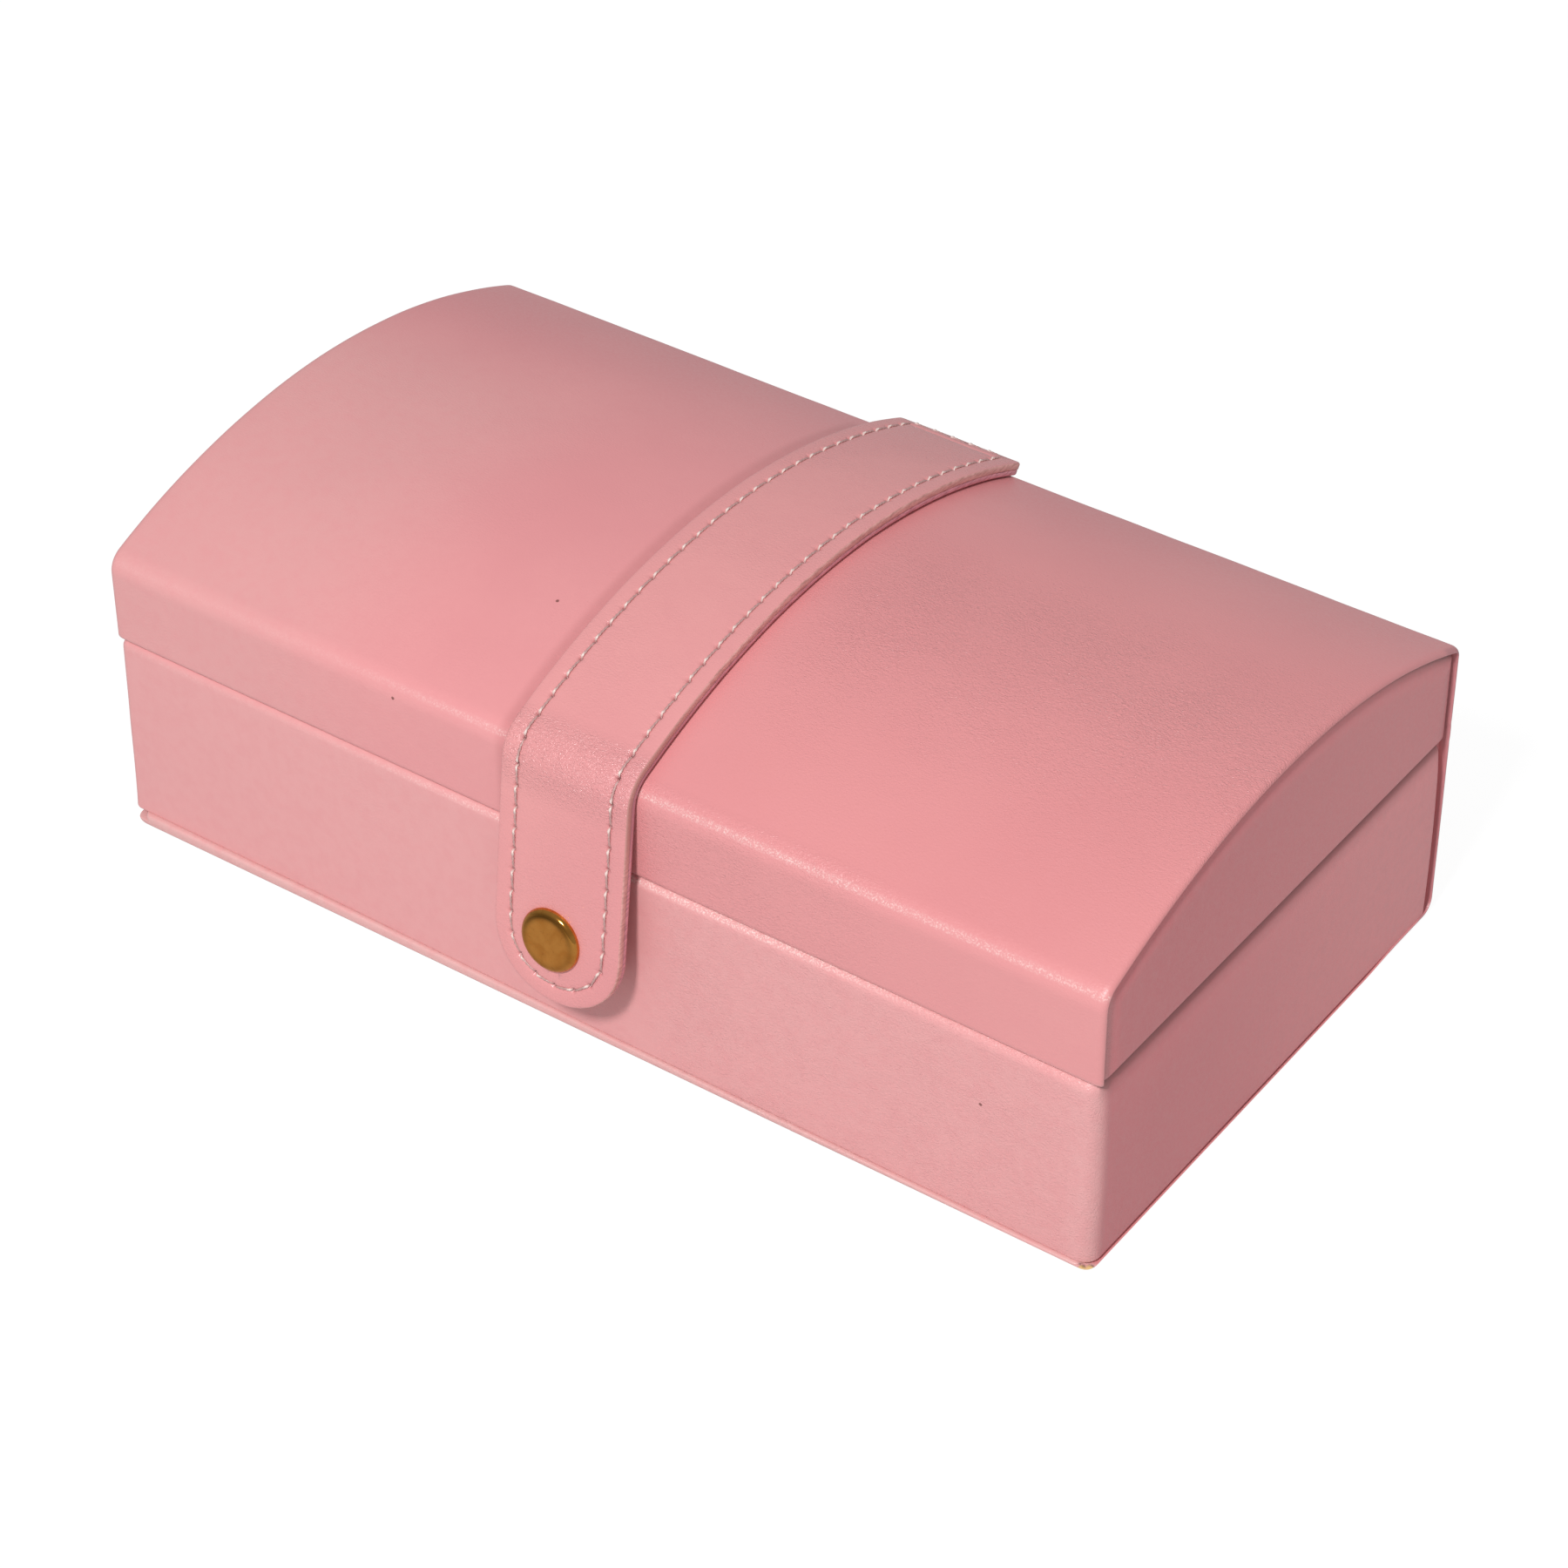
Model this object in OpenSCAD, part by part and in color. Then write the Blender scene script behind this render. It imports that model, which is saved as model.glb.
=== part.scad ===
// Jewellery case: a leather cover wraps the bottom, the back and the arched lid like a book.
// A leather-wrapped tray is glued into the cover, and a strap with a press stud closes it.
// X runs along the case, Y from front to back and Z up. The origin is the centre of the underside.

/* [Case] */
// Length of the cover from end to end
case_l = 200; // [170:1:240]
// Depth of the cover from front to back
case_w = 110.5; // [98:0.5:130]
// Height of the seam between base and lid
seam_h = 38.7; // [36:0.1:60]
// Height of the lid's edges above the seam
lid_edge_h = 17.3; // [16:0.1:26]
// Rise of the arch above the lid's edges
arch_rise = 12; // [9:0.5:18]
// Radius of the lid's front top edge
front_edge_r = 4.5; // [3.5:0.1:6]
// Radius of the lid's back top edge
back_edge_r = 2.4; // [1:0.1:5]
// Radius of the cover between bottom and back
spine_r = 3.2; // [2.4:0.1:5]
// Gap between the rims of base and lid
seam_gap = 0.3; // [0.2:0.05:0.5]

/* [Boards and leather] */
// Thickness of the boards in the cover
board_t = 1.4; // [1:0.1:2]
// Thickness of the leather skin
skin_t = 0.6; // [0.4:0.05:0.8]
// Thickness of the tray's wall boards
wall_t = 2.5; // [2:0.1:3.5]
// Thickness of the lid's end boards
end_board_t = 2; // [1.5:0.1:3]
// Thickness of the rails along the lid's front and back
rail_t = 1.6; // [1.2:0.1:3]
// Thickness of the cloth hinge tape
tape_t = 0.4; // [0.3:0.05:0.6]
// Width of the bare leather crease along the hinge
crease_w = 3; // [2:0.1:5]
// Radius of the tray's upright corners
corner_r = 1.6; // [1.6:0.1:3]
// Radius of the tray's top rim
rim_r = 1.2; // [0.9:0.05:1.4]
// How far the skin is turned in behind the tray's rim
turn_in = 9; // [6:0.5:10]
// How far the tray's ends stand back from the cover's ends
side_inset = 0; // [0:0.1:1.5]
// How far the tray's front stands back from the cover's front
front_inset = 0.1; // [0.1:0.1:1]
// How far the lid's end panels stand back from the cover's ends
end_inset = 0.3; // [0.2:0.1:2]
// Groove between the lid's end panels and the cover
groove_w = 0.3; // [0.1:0.05:0.6]

/* [Interior] */
// Thickness of the velvet lining
velvet_t = 1; // [0.6:0.1:1.6]
// Width of leather left bare at the tray's rim
bare_rim = 3; // [2:0.5:5]
// Length of the bay that holds the ring rolls
ring_bay_l = 68; // [50:1:90]
// Depth of the long bay at the front
front_bay_d = 54; // [40:1:65]
// Number of small bays at the back
rear_bays = 3; // [2:1:4]
// Thickness of the dividers
divider_t = 3; // [2:0.1:4]
// Height of the dividers above the lining
divider_h = 22; // [15:1:28]
// Diameter of a ring roll
roll_d = 15.5; // [12:0.5:18]
// Smallest slot between two ring rolls
roll_slot = 0.6; // [0.3:0.1:2]
// Width of the flat on which a ring roll is glued
roll_flat_w = 7; // [4:0.5:9]
// Height of the foam pad under the ring rolls
ring_pad_h = 8; // [4:0.5:10]
// Clearance around the foam pad
pad_gap = 0.2; // [0.1:0.05:0.5]
// Height of the lid's rails, up to the ceiling board
rail_h = 12; // [10:0.5:12.5]
// Thickness of the lid's ceiling board
ceiling_t = 1.5; // [1:0.1:2]
// Thickness of the padded frame round the mirror
frame_t = 3; // [2.2:0.1:4]
// Length of the mirror
mirror_l = 142; // [90:1:150]
// Depth of the mirror
mirror_w = 66; // [40:1:76]
// Thickness of the mirror
mirror_t = 1.8; // [1.5:0.1:2]
// Radius of the mirror's corners
mirror_r = 6; // [3:0.5:10]

/* [Strap] */
// Width of the strap
strap_w = 25.5; // [20:0.5:32]
// Thickness of the strap's face leather
face_t = 1.3; // [1:0.1:1.8]
// Thickness of the strap's back leather
back_t = 1.2; // [1.1:0.1:1.8]
// Clearance between the strap and the lid
strap_gap = 0.3; // [0.2:0.05:0.5]
// Length of strap that is fastened down at the back of the lid
root_l = 22; // [15:1:35]
// How far the strap's square end stands back from the lid's back edge
root_inset = 0.4; // [0.2:0.1:4]
// Length of the flap's round tip past the centre of the press stud
tip_l = 12.2; // [11:0.1:16]
// Gap between two lengths of strap where the leather flexes
flex_gap = 0.3; // [0.2:0.05:0.5]

/* [Press stud] */
// Height of the press stud above the table
snap_h = 23.5; // [20:0.5:26]
// Diameter of the cap
cap_d = 11.7; // [10:0.1:15]
// Height of the cap
cap_t = 1.5; // [1:0.1:2.5]
// Radius of the cap's rolled rim
cap_rim_r = 0.9; // [0.5:0.05:0.95]
// Diameter of the cap's barrel
barrel_d = 3.6; // [3:0.1:4]
// Diameter of the socket
socket_d = 10.5; // [9.5:0.1:12]
// Height of the socket
socket_t = 2.4; // [2.3:0.1:2.8]
// Depth that the socket is pressed into the back leather
socket_seat = 0.9; // [0.5:0.05:1]
// Diameter of the socket's mouth
mouth_d = 6.4; // [6.2:0.1:7]
// Wire diameter of the socket's spring ring
spring_d = 0.5; // [0.3:0.05:0.6]
// Diameter of the stud's flange
stud_d = 9.5; // [8:0.1:11]
// Thickness of the stud's flange
stud_flange_t = 0.5; // [0.4:0.05:0.8]
// Diameter of the stud's head
head_d = 5.2; // [4.6:0.1:5.4]
// Height of the stud's head above its flange
head_t = 1.7; // [1.5:0.05:1.8]
// Diameter of the post that rivets the stud to the wall
post_d = 2.8; // [2:0.1:3.2]
// Thickness of the post's flange
post_flange_t = 0.4; // [0.3:0.05:0.4]
// Radial clearance of a rivet in its hole
rivet_gap = 0.05; // [0.02:0.01:0.1]
// Gap between the resting socket and the stud's crown
press_gap = 0.3; // [0.25:0.05:0.6]

/* [Hidden] */

$fn = 48;
arch_steps = 60;
bend_steps = 8;
least_r = 0.05;

leather_pink = [0.88, 0.62, 0.63];
leather_back = [0.80, 0.55, 0.56];
velvet_rose = [0.93, 0.80, 0.80];
board_grey = [0.68, 0.64, 0.56];
tape_rose = [0.85, 0.66, 0.67];
brass = [0.72, 0.52, 0.22];
glass_grey = [0.80, 0.84, 0.88];

cover_t = skin_t + board_t;
half_l = case_l / 2;
half_w = case_w / 2;
base_top = seam_h - seam_gap / 2;
lid_bottom = seam_h + seam_gap / 2;
top_h = seam_h + lid_edge_h + arch_rise;
arch_r = (half_w * half_w + arch_rise * arch_rise) / (2 * arch_rise);
arch_c = [0, top_h - arch_r];

tray_x = half_l - side_inset;
tray_front = -half_w + front_inset;
tray_back = half_w - cover_t - tape_t;
tray_w = tray_back - tray_front;
tray_mid = (tray_back + tray_front) / 2;
wall_stack = skin_t + wall_t + skin_t;
well_x = tray_x - wall_stack;
well_front = tray_front + wall_stack;
well_back = tray_back - wall_stack;
lining_top = base_top - bare_rim;
floor_z = cover_t + velvet_t;
bay_x = well_x - velvet_t;
bay_front = well_front + velvet_t;
bay_back = well_back - velvet_t;
bay_w = bay_back - bay_front;
cross_x = -bay_x + ring_bay_l;
right_x = cross_x + divider_t;
long_y = bay_front + front_bay_d;
rear_y = long_y + divider_t;
rear_l = (bay_x - right_x - (rear_bays - 1) * divider_t) / rear_bays;
roll_count = floor(bay_w / (roll_d + roll_slot));
roll_pitch = bay_w / roll_count;
roll_lift = sqrt(pow(roll_d / 2, 2) - pow(roll_flat_w / 2, 2));

panel_x = half_l - end_inset;
end_board_x = panel_x - skin_t;
lid_in_x = end_board_x - end_board_t;
lid_wall_y = half_w - cover_t;
rail_y = lid_wall_y - tape_t - rail_t;
ceiling_z = lid_bottom + rail_h;

strap_t = face_t + back_t;
in_o = -strap_gap;
mid_o = in_o - back_t;
out_o = mid_o - face_t;
bend_c = front_bend_centre(0, front_edge_r);
bend_in_r = front_edge_r + strap_gap;
socket_proud = socket_t - socket_seat;
wall_front = tray_front;
stud_t = stud_flange_t + head_t;
crown = [wall_front - stud_t, snap_h];
crown_arm = bend_c - crown;
lean = acos((bend_in_r - socket_proud - press_gap) / norm(crown_arm)) - atan2(crown_arm[1], crown_arm[0]);
flap_top = bend_c + bend_in_r * [-cos(lean), sin(lean)];
snap_drop = (flap_top - crown) * [sin(lean), cos(lean)];
cavity_d = mouth_d;
cavity_t = socket_t - spring_d;

strap_out_r = arch_r - out_o;
end_a = acos((half_w - root_inset) / strap_out_r);
root_a = end_a + root_l / strap_out_r * 180 / PI;
root_cut = flex_gap / 2 / strap_out_r * 180 / PI;
join_a = 180 - atan2(bend_c[1] - arch_c[1], -bend_c[0]);
fold_a = (join_a + 180 - lean) / 2;
fold_cut = flex_gap / 2 / (front_edge_r - out_o) * 180 / PI;

// Points of an arc from angle a0 to a1; the first is left out where a path already has it.
function arc(c, r, a0, a1, steps, first = 0) =
    [for (i = [first : steps]) let (a = a0 + (a1 - a0) * i / steps) c + r * [cos(a), sin(a)]];

function reversed(points) = [for (i = [len(points) - 1 : -1 : 0]) points[i]];

// Centre of the arc that rounds the lid's back edge with radius r, o inside the outer face.
function back_bend_centre(o, r) =
    let (y = half_w - o - r, reach = arch_r - o - r)
    [y, arch_c[1] + sqrt(reach * reach - y * y)];

function front_bend_centre(o, r) = let (c = back_bend_centre(o, r)) [-c[0], c[1]];

// The lid's outline o inside its outer face, from the top of its back wall to that of its front.
function lid_path(o) =
    let (rb = max(back_edge_r - o, least_r))
    let (rf = max(front_edge_r - o, least_r))
    let (cb = back_bend_centre(o, rb))
    let (cf = front_bend_centre(o, rf))
    let (ab = atan2(cb[1] - arch_c[1], cb[0]))
    let (af = atan2(cf[1] - arch_c[1], cf[0]))
    concat(
        arc(cb, rb, 0, ab, bend_steps),
        arc(arch_c, arch_r - o, ab, af, arch_steps, 1),
        arc(cf, rf, af, 180, bend_steps, 1));

// The cover's inner corner between bottom and back, o inside its outer face.
function spine_path(o) =
    let (r = max(spine_r - o, least_r))
    arc([half_w - o - r, o + r], r, -90, 0, bend_steps);

// The outline o inside the lid, closed along a line at height z.
function lid_outline(o, z) = concat([[half_w - o, z]], lid_path(o), [[o - half_w, z]]);

// A section of the strap over the arch, between two offsets and two angles.
function arch_band(o0, o1, a0, a1) = concat(
    arc(arch_c, arch_r - o0, a0, a1, arch_steps),
    arc(arch_c, arch_r - o1, a1, a0, arch_steps));

// A section of the strap round the front edge.
function bend_band(o0, o1, a0, a1) = concat(
    arc(bend_c, front_edge_r - o0, a0, a1, bend_steps),
    arc(bend_c, front_edge_r - o1, a1, a0, bend_steps));

// Extrudes an outline drawn in Y and Z along X, from x0 to x1.
module along_x(x0, x1) {
    translate([x0, 0, 0])
        rotate([90, 0, 90])
            linear_extrude(x1 - x0)
                children();
}

module block(low, high) {
    translate(low)
        cube(high - low);
}

module rounded_rect(l, w, r) {
    square([l - 2 * r, w], center = true);
    square([l, w - 2 * r], center = true);
    for (x = [r - l / 2, l / 2 - r], y = [r - w / 2, w / 2 - r])
        translate([x, y])
            circle(r);
}

// Sweeps a wall section, given as [depth, height] points, round a rectangle with round corners.
module swept_wall(l, w, r, section) {
    for (side = [0 : 3]) {
        reach = (side % 2 == 0 ? l : w) / 2;
        run = (side % 2 == 0 ? w : l) - 2 * r;
        rotate([0, 0, 90 * side]) {
            translate([reach, run / 2, 0])
                rotate([90, 0, 0])
                    linear_extrude(run)
                        polygon([for (p = section) [-p[0], p[1]]]);
            translate([reach - r, run / 2, 0])
                rotate_extrude(angle = 90)
                    polygon([for (p = section) [r - p[0], p[1]]]);
        }
    }
}

// Places a piece on the stud's axis: its own Z points forward, out of the front wall.
module at_stud() {
    translate([0, wall_front, snap_h])
        rotate([90, 0, 0])
            children();
}

// Places a piece in the flap's plane: Y runs up the flap, Z points forward, from its inner face.
module in_flap() {
    translate([0, flap_top[0], flap_top[1]])
        rotate([90 - lean, 0, 0])
            children();
}

module at_snap() {
    in_flap()
        translate([0, -snap_drop, 0])
            children();
}

// ---------------------------------------------------------------- base

module bottom_board() {
    color(board_grey)
        block([skin_t - half_l, skin_t - half_w, skin_t], [half_l - skin_t, half_w - spine_r, cover_t]);
}

module base_back_board() {
    color(board_grey)
        block([skin_t - half_l, half_w - cover_t, spine_r],
            [half_l - skin_t, half_w - skin_t, seam_h - crease_w / 2]);
}

module base_cover_skin() {
    color(leather_pink) {
        along_x(-half_l, half_l)
            polygon(concat(
                [[-half_w, cover_t], [-half_w, 0]],
                spine_path(0),
                [[half_w, base_top], [half_w - skin_t, base_top]],
                reversed(spine_path(skin_t)),
                [[skin_t - half_w, skin_t], [skin_t - half_w, cover_t]]));
        for (x = [-half_l, half_l - skin_t])
            along_x(x, x + skin_t)
                polygon(concat(
                    [[skin_t - half_w, skin_t]],
                    spine_path(skin_t),
                    [[half_w - skin_t, base_top], [half_w - cover_t, base_top]],
                    reversed(spine_path(cover_t)),
                    [[skin_t - half_w, cover_t]]));
    }
}

module stud_hole(d, reach) {
    at_stud()
        translate([0, 0, -reach])
            cylinder(d = d, h = reach + stud_t);
}

module tray_wall_boards() {
    color(board_grey)
        difference() {
            translate([0, tray_mid, cover_t])
                linear_extrude(base_top - skin_t - cover_t)
                    difference() {
                        rounded_rect(2 * (tray_x - skin_t), tray_w - 2 * skin_t, corner_r - skin_t);
                        square([2 * (well_x + skin_t), tray_w - 2 * (skin_t + wall_t)], center = true);
                    }
            stud_hole(post_d + 2 * rivet_gap, wall_stack);
        }
}

module tray_wall_skin() {
    inner_l = 2 * (well_x + skin_t);
    inner_w = tray_w - 2 * (skin_t + wall_t);
    section = concat(
        [[0, cover_t]],
        arc([rim_r, base_top - rim_r], rim_r, 180, 90, bend_steps),
        [[corner_r, base_top], [corner_r, base_top - skin_t]],
        [[skin_t, base_top - skin_t], [skin_t, cover_t]]);
    color(leather_pink)
        difference() {
            translate([0, tray_mid, 0]) {
                swept_wall(2 * tray_x, tray_w, corner_r, section);
                translate([0, 0, base_top - skin_t])
                    linear_extrude(skin_t)
                        difference() {
                            square([2 * (tray_x - corner_r), tray_w - 2 * corner_r], center = true);
                            square([inner_l, inner_w], center = true);
                        }
                translate([0, 0, base_top - turn_in])
                    linear_extrude(turn_in)
                        difference() {
                            square([inner_l, inner_w], center = true);
                            square([inner_l - 2 * skin_t, inner_w - 2 * skin_t], center = true);
                        }
            }
            stud_hole(post_d + 2 * rivet_gap, skin_t);
        }
}

module tray_lining() {
    color(velvet_rose)
        difference() {
            block([-well_x, well_front, cover_t], [well_x, well_back, lining_top]);
            block([-bay_x, bay_front, floor_z], [bay_x, bay_back, base_top]);
        }
}

// An upright divider of length l along its own X, with a round top.
module divider(l) {
    r = divider_t / 2;
    along_x(0, l)
        polygon(concat([[-r, 0], [r, 0]], arc([0, divider_h - r], r, 0, 180, bend_steps)));
}

module cross_divider() {
    color(velvet_rose)
        translate([cross_x + divider_t / 2, bay_front, floor_z])
            rotate([0, 0, 90])
                divider(bay_w);
}

module long_divider() {
    color(velvet_rose)
        translate([right_x, long_y + divider_t / 2, floor_z])
            divider(bay_x - right_x);
}

module rear_dividers() {
    color(velvet_rose)
        for (i = [1 : rear_bays - 1])
            translate([right_x + i * rear_l + (i - 0.5) * divider_t, rear_y, floor_z])
                rotate([0, 0, 90])
                    divider(bay_back - rear_y);
}

module ring_pad() {
    color(velvet_rose)
        block([pad_gap - bay_x, bay_front + pad_gap, floor_z],
            [cross_x - pad_gap, bay_back - pad_gap, floor_z + ring_pad_h]);
}

module ring_rolls() {
    color(velvet_rose)
        for (i = [0 : roll_count - 1])
            translate([pad_gap - bay_x, bay_front + (i + 0.5) * roll_pitch, floor_z + ring_pad_h])
                difference() {
                    translate([0, 0, roll_lift])
                        rotate([0, 90, 0])
                            cylinder(d = roll_d, h = ring_bay_l - 2 * pad_gap);
                    translate([-1, -roll_d, -roll_d])
                        cube([ring_bay_l + 2, 2 * roll_d, roll_d]);
                }
}

module hinge_tape_lower() {
    color(tape_rose)
        block([-tray_x, half_w - cover_t - tape_t, seam_h / 2], [tray_x, half_w - cover_t, base_top]);
}

module press_stud() {
    neck_r = head_d / 2 - 0.5;
    bulb_r = head_t / 2;
    color(brass)
        at_stud()
            difference() {
                rotate_extrude()
                    polygon(concat(
                        [[0, 0], [stud_d / 2, 0], [stud_d / 2, stud_flange_t / 2]],
                        [[neck_r + stud_flange_t, stud_flange_t], [neck_r, stud_flange_t + head_t / 3]],
                        arc([head_d / 2 - bulb_r / 2, stud_t - bulb_r / 2], bulb_r / 2, -60, 90, bend_steps),
                        [[0, stud_t]]));
                translate([0, 0, -1])
                    cylinder(r = post_d / 2 + rivet_gap, h = stud_t - skin_t + 1);
            }
}

module stud_post() {
    back = skin_t + wall_t;
    color(brass)
        at_stud() {
            translate([0, 0, -back - post_flange_t])
                cylinder(d = stud_d - 1, h = post_flange_t);
            translate([0, 0, -back])
                cylinder(d = post_d, h = back + stud_t - skin_t - rivet_gap);
        }
}

// ----------------------------------------------------------------- lid

module lid_front_board() {
    color(board_grey)
        block([skin_t - half_l, skin_t - half_w, lid_bottom + skin_t],
            [half_l - skin_t, cover_t - half_w, bend_c[1]]);
}

module lid_arch_board() {
    color(board_grey)
        along_x(skin_t - half_l, half_l - skin_t)
            polygon(concat(lid_path(skin_t), reversed(lid_path(cover_t))));
}

module lid_back_board() {
    color(board_grey)
        block([skin_t - half_l, half_w - cover_t, seam_h + crease_w / 2],
            [half_l - skin_t, half_w - skin_t, back_bend_centre(0, back_edge_r)[1]]);
}

module lid_cover_skin() {
    hem = lid_bottom + skin_t;
    color(leather_pink) {
        along_x(-half_l, half_l)
            polygon(concat(
                [[half_w, lid_bottom]],
                lid_path(0),
                [[-half_w, lid_bottom], [cover_t - half_w, lid_bottom]],
                [[cover_t - half_w, hem], [skin_t - half_w, hem]],
                reversed(lid_path(skin_t)),
                [[half_w - skin_t, lid_bottom]]));
        for (x = [-half_l, half_l - skin_t])
            along_x(x, x + skin_t)
                polygon(concat(
                    [[half_w - skin_t, lid_bottom]],
                    lid_path(skin_t),
                    [[skin_t - half_w, hem], [cover_t - half_w, hem]],
                    reversed(lid_path(cover_t)),
                    [[half_w - cover_t, lid_bottom]]));
    }
}

module lid_end_board(x0) {
    inset = cover_t + groove_w + skin_t;
    color(board_grey)
        along_x(x0, x0 + end_board_t)
            polygon(lid_outline(inset, lid_bottom + skin_t));
}

// The leather of an end panel: its face at x_face, its turned edges from x_edge inwards.
module lid_end_skin(x_face, x_edge) {
    inset = cover_t + groove_w;
    color(leather_pink) {
        along_x(x_face, x_face + skin_t)
            polygon(lid_outline(inset, lid_bottom));
        along_x(x_edge, x_edge + end_board_t)
            difference() {
                polygon(lid_outline(inset, lid_bottom));
                polygon(lid_outline(inset + skin_t, lid_bottom + skin_t));
            }
    }
}

module lid_end_board_left() {
    lid_end_board(-end_board_x);
}

module lid_end_board_right() {
    lid_end_board(lid_in_x);
}

module lid_end_skin_left() {
    lid_end_skin(-panel_x, -end_board_x);
}

module lid_end_skin_right() {
    lid_end_skin(end_board_x, lid_in_x);
}

module lid_rail_front() {
    color(leather_pink)
        block([-lid_in_x, -rail_y - rail_t, lid_bottom], [lid_in_x, -rail_y, ceiling_z]);
}

module lid_rail_back() {
    color(leather_pink)
        block([-lid_in_x, rail_y, lid_bottom], [lid_in_x, rail_y + rail_t, ceiling_z]);
}

module lid_lining() {
    color(velvet_rose)
        translate([0, 0, lid_bottom + skin_t])
            linear_extrude(rail_h - skin_t)
                difference() {
                    square([2 * lid_in_x, 2 * rail_y], center = true);
                    square([2 * (lid_in_x - velvet_t), 2 * (rail_y - velvet_t)], center = true);
                }
}

module lid_ceiling_board() {
    reach = rail_y + rail_t / 2;
    color(board_grey)
        block([-lid_in_x, -reach, ceiling_z], [lid_in_x, reach, ceiling_z + ceiling_t]);
}

module mirror_frame() {
    color(velvet_rose)
        translate([0, 0, ceiling_z - frame_t])
            linear_extrude(frame_t)
                difference() {
                    square([2 * (lid_in_x - velvet_t), 2 * (rail_y - velvet_t)], center = true);
                    rounded_rect(mirror_l + 2 * pad_gap, mirror_w + 2 * pad_gap, mirror_r + pad_gap);
                }
}

module mirror() {
    color(glass_grey)
        translate([0, 0, ceiling_z - mirror_t])
            linear_extrude(mirror_t)
                rounded_rect(mirror_l, mirror_w, mirror_r);
}

module hinge_tape_upper() {
    color(tape_rose)
        block([-lid_in_x, lid_wall_y - tape_t, lid_bottom], [lid_in_x, lid_wall_y, ceiling_z]);
}

// --------------------------------------------------------------- strap

module strap_over_arch(o0, o1, a0, a1) {
    along_x(-strap_w / 2, strap_w / 2)
        polygon(arch_band(o0, o1, a0, a1));
}

module strap_round_edge(o0, o1, a0, a1) {
    along_x(-strap_w / 2, strap_w / 2)
        polygon(bend_band(o0, o1, a0, a1));
}

// One layer of the flap: round the front edge, then straight down to a tip round the stud.
module flap_layer(o0, o1) {
    r0 = front_edge_r - o0;
    r1 = front_edge_r - o1;
    foot = bend_c + (snap_drop + tip_l) * [-sin(lean), -cos(lean)];
    difference() {
        along_x(-strap_w / 2, strap_w / 2)
            polygon(concat(
                arc(bend_c, r0, fold_a + fold_cut, 180 - lean, bend_steps),
                [foot + r0 * [-cos(lean), sin(lean)], foot + r1 * [-cos(lean), sin(lean)]],
                arc(bend_c, r1, 180 - lean, fold_a + fold_cut, bend_steps)));
        at_snap()
            translate([0, 0, -strap_t])
                linear_extrude(3 * strap_t) {
                    translate([0, strap_w / 2 - tip_l])
                        difference() {
                            translate([-strap_w, -strap_w])
                                square([2 * strap_w, strap_w]);
                            circle(d = strap_w);
                        }
                    circle(d = barrel_d + 2 * rivet_gap);
                }
    }
}

module strap_root_face() {
    color(leather_pink)
        strap_over_arch(out_o, mid_o, end_a, root_a - root_cut);
}

module strap_root_back() {
    color(leather_back)
        strap_over_arch(mid_o, in_o, end_a, root_a - root_cut);
}

module strap_arch_face() {
    color(leather_pink) {
        strap_over_arch(out_o, mid_o, root_a + root_cut, join_a);
        strap_round_edge(out_o, mid_o, join_a, fold_a - fold_cut);
    }
}

module strap_arch_back() {
    color(leather_back) {
        strap_over_arch(mid_o, in_o, root_a + root_cut, join_a);
        strap_round_edge(mid_o, in_o, join_a, fold_a - fold_cut);
    }
}

module strap_flap_face() {
    color(leather_pink)
        flap_layer(out_o, mid_o);
}

module strap_flap_back() {
    color(leather_back)
        difference() {
            flap_layer(mid_o, in_o);
            at_snap()
                translate([0, 0, -socket_seat])
                    cylinder(d = socket_d + 2 * rivet_gap, h = 2 * socket_seat);
        }
}

module snap_cap() {
    wall = 0.5;
    color(brass)
        at_snap() {
            translate([0, 0, strap_t])
                rotate_extrude()
                    polygon(concat(
                        [[0, 0], [cap_d / 2 - wall, 0]],
                        arc([cap_d / 2 - cap_rim_r, cap_rim_r / 2], cap_rim_r, -30, 80, bend_steps),
                        [[0, cap_t]]));
            translate([0, 0, socket_seat])
                cylinder(d = barrel_d, h = strap_t - socket_seat);
        }
}

module snap_socket() {
    color(brass)
        at_snap()
            translate([0, 0, -socket_proud])
                difference() {
                    cylinder(d = socket_d, h = socket_t);
                    translate([0, 0, -1])
                        cylinder(d = mouth_d, h = cavity_t + 1);
                }
}

module socket_spring() {
    color(brass)
        at_snap()
            translate([0, 0, spring_d - socket_proud])
                rotate_extrude(angle = 320)
                    translate([(mouth_d - spring_d) / 2 - rivet_gap, 0])
                        circle(d = spring_d);
}

bottom_board();
base_back_board();
base_cover_skin();
tray_wall_boards();
tray_wall_skin();
tray_lining();
cross_divider();
long_divider();
rear_dividers();
ring_pad();
ring_rolls();
hinge_tape_lower();
press_stud();
stud_post();
lid_front_board();
lid_arch_board();
lid_back_board();
lid_cover_skin();
lid_end_board_left();
lid_end_board_right();
lid_end_skin_left();
lid_end_skin_right();
lid_rail_front();
lid_rail_back();
lid_lining();
lid_ceiling_board();
mirror_frame();
mirror();
hinge_tape_upper();
strap_root_face();
strap_root_back();
strap_arch_face();
strap_arch_back();
strap_flap_face();
strap_flap_back();
snap_cap();
snap_socket();
socket_spring();
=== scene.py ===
"""The looks of the leather jewellery case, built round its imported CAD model."""
import math

import bmesh
import bpy
import numpy as np
from mathutils import Matrix, Vector, noise


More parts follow.
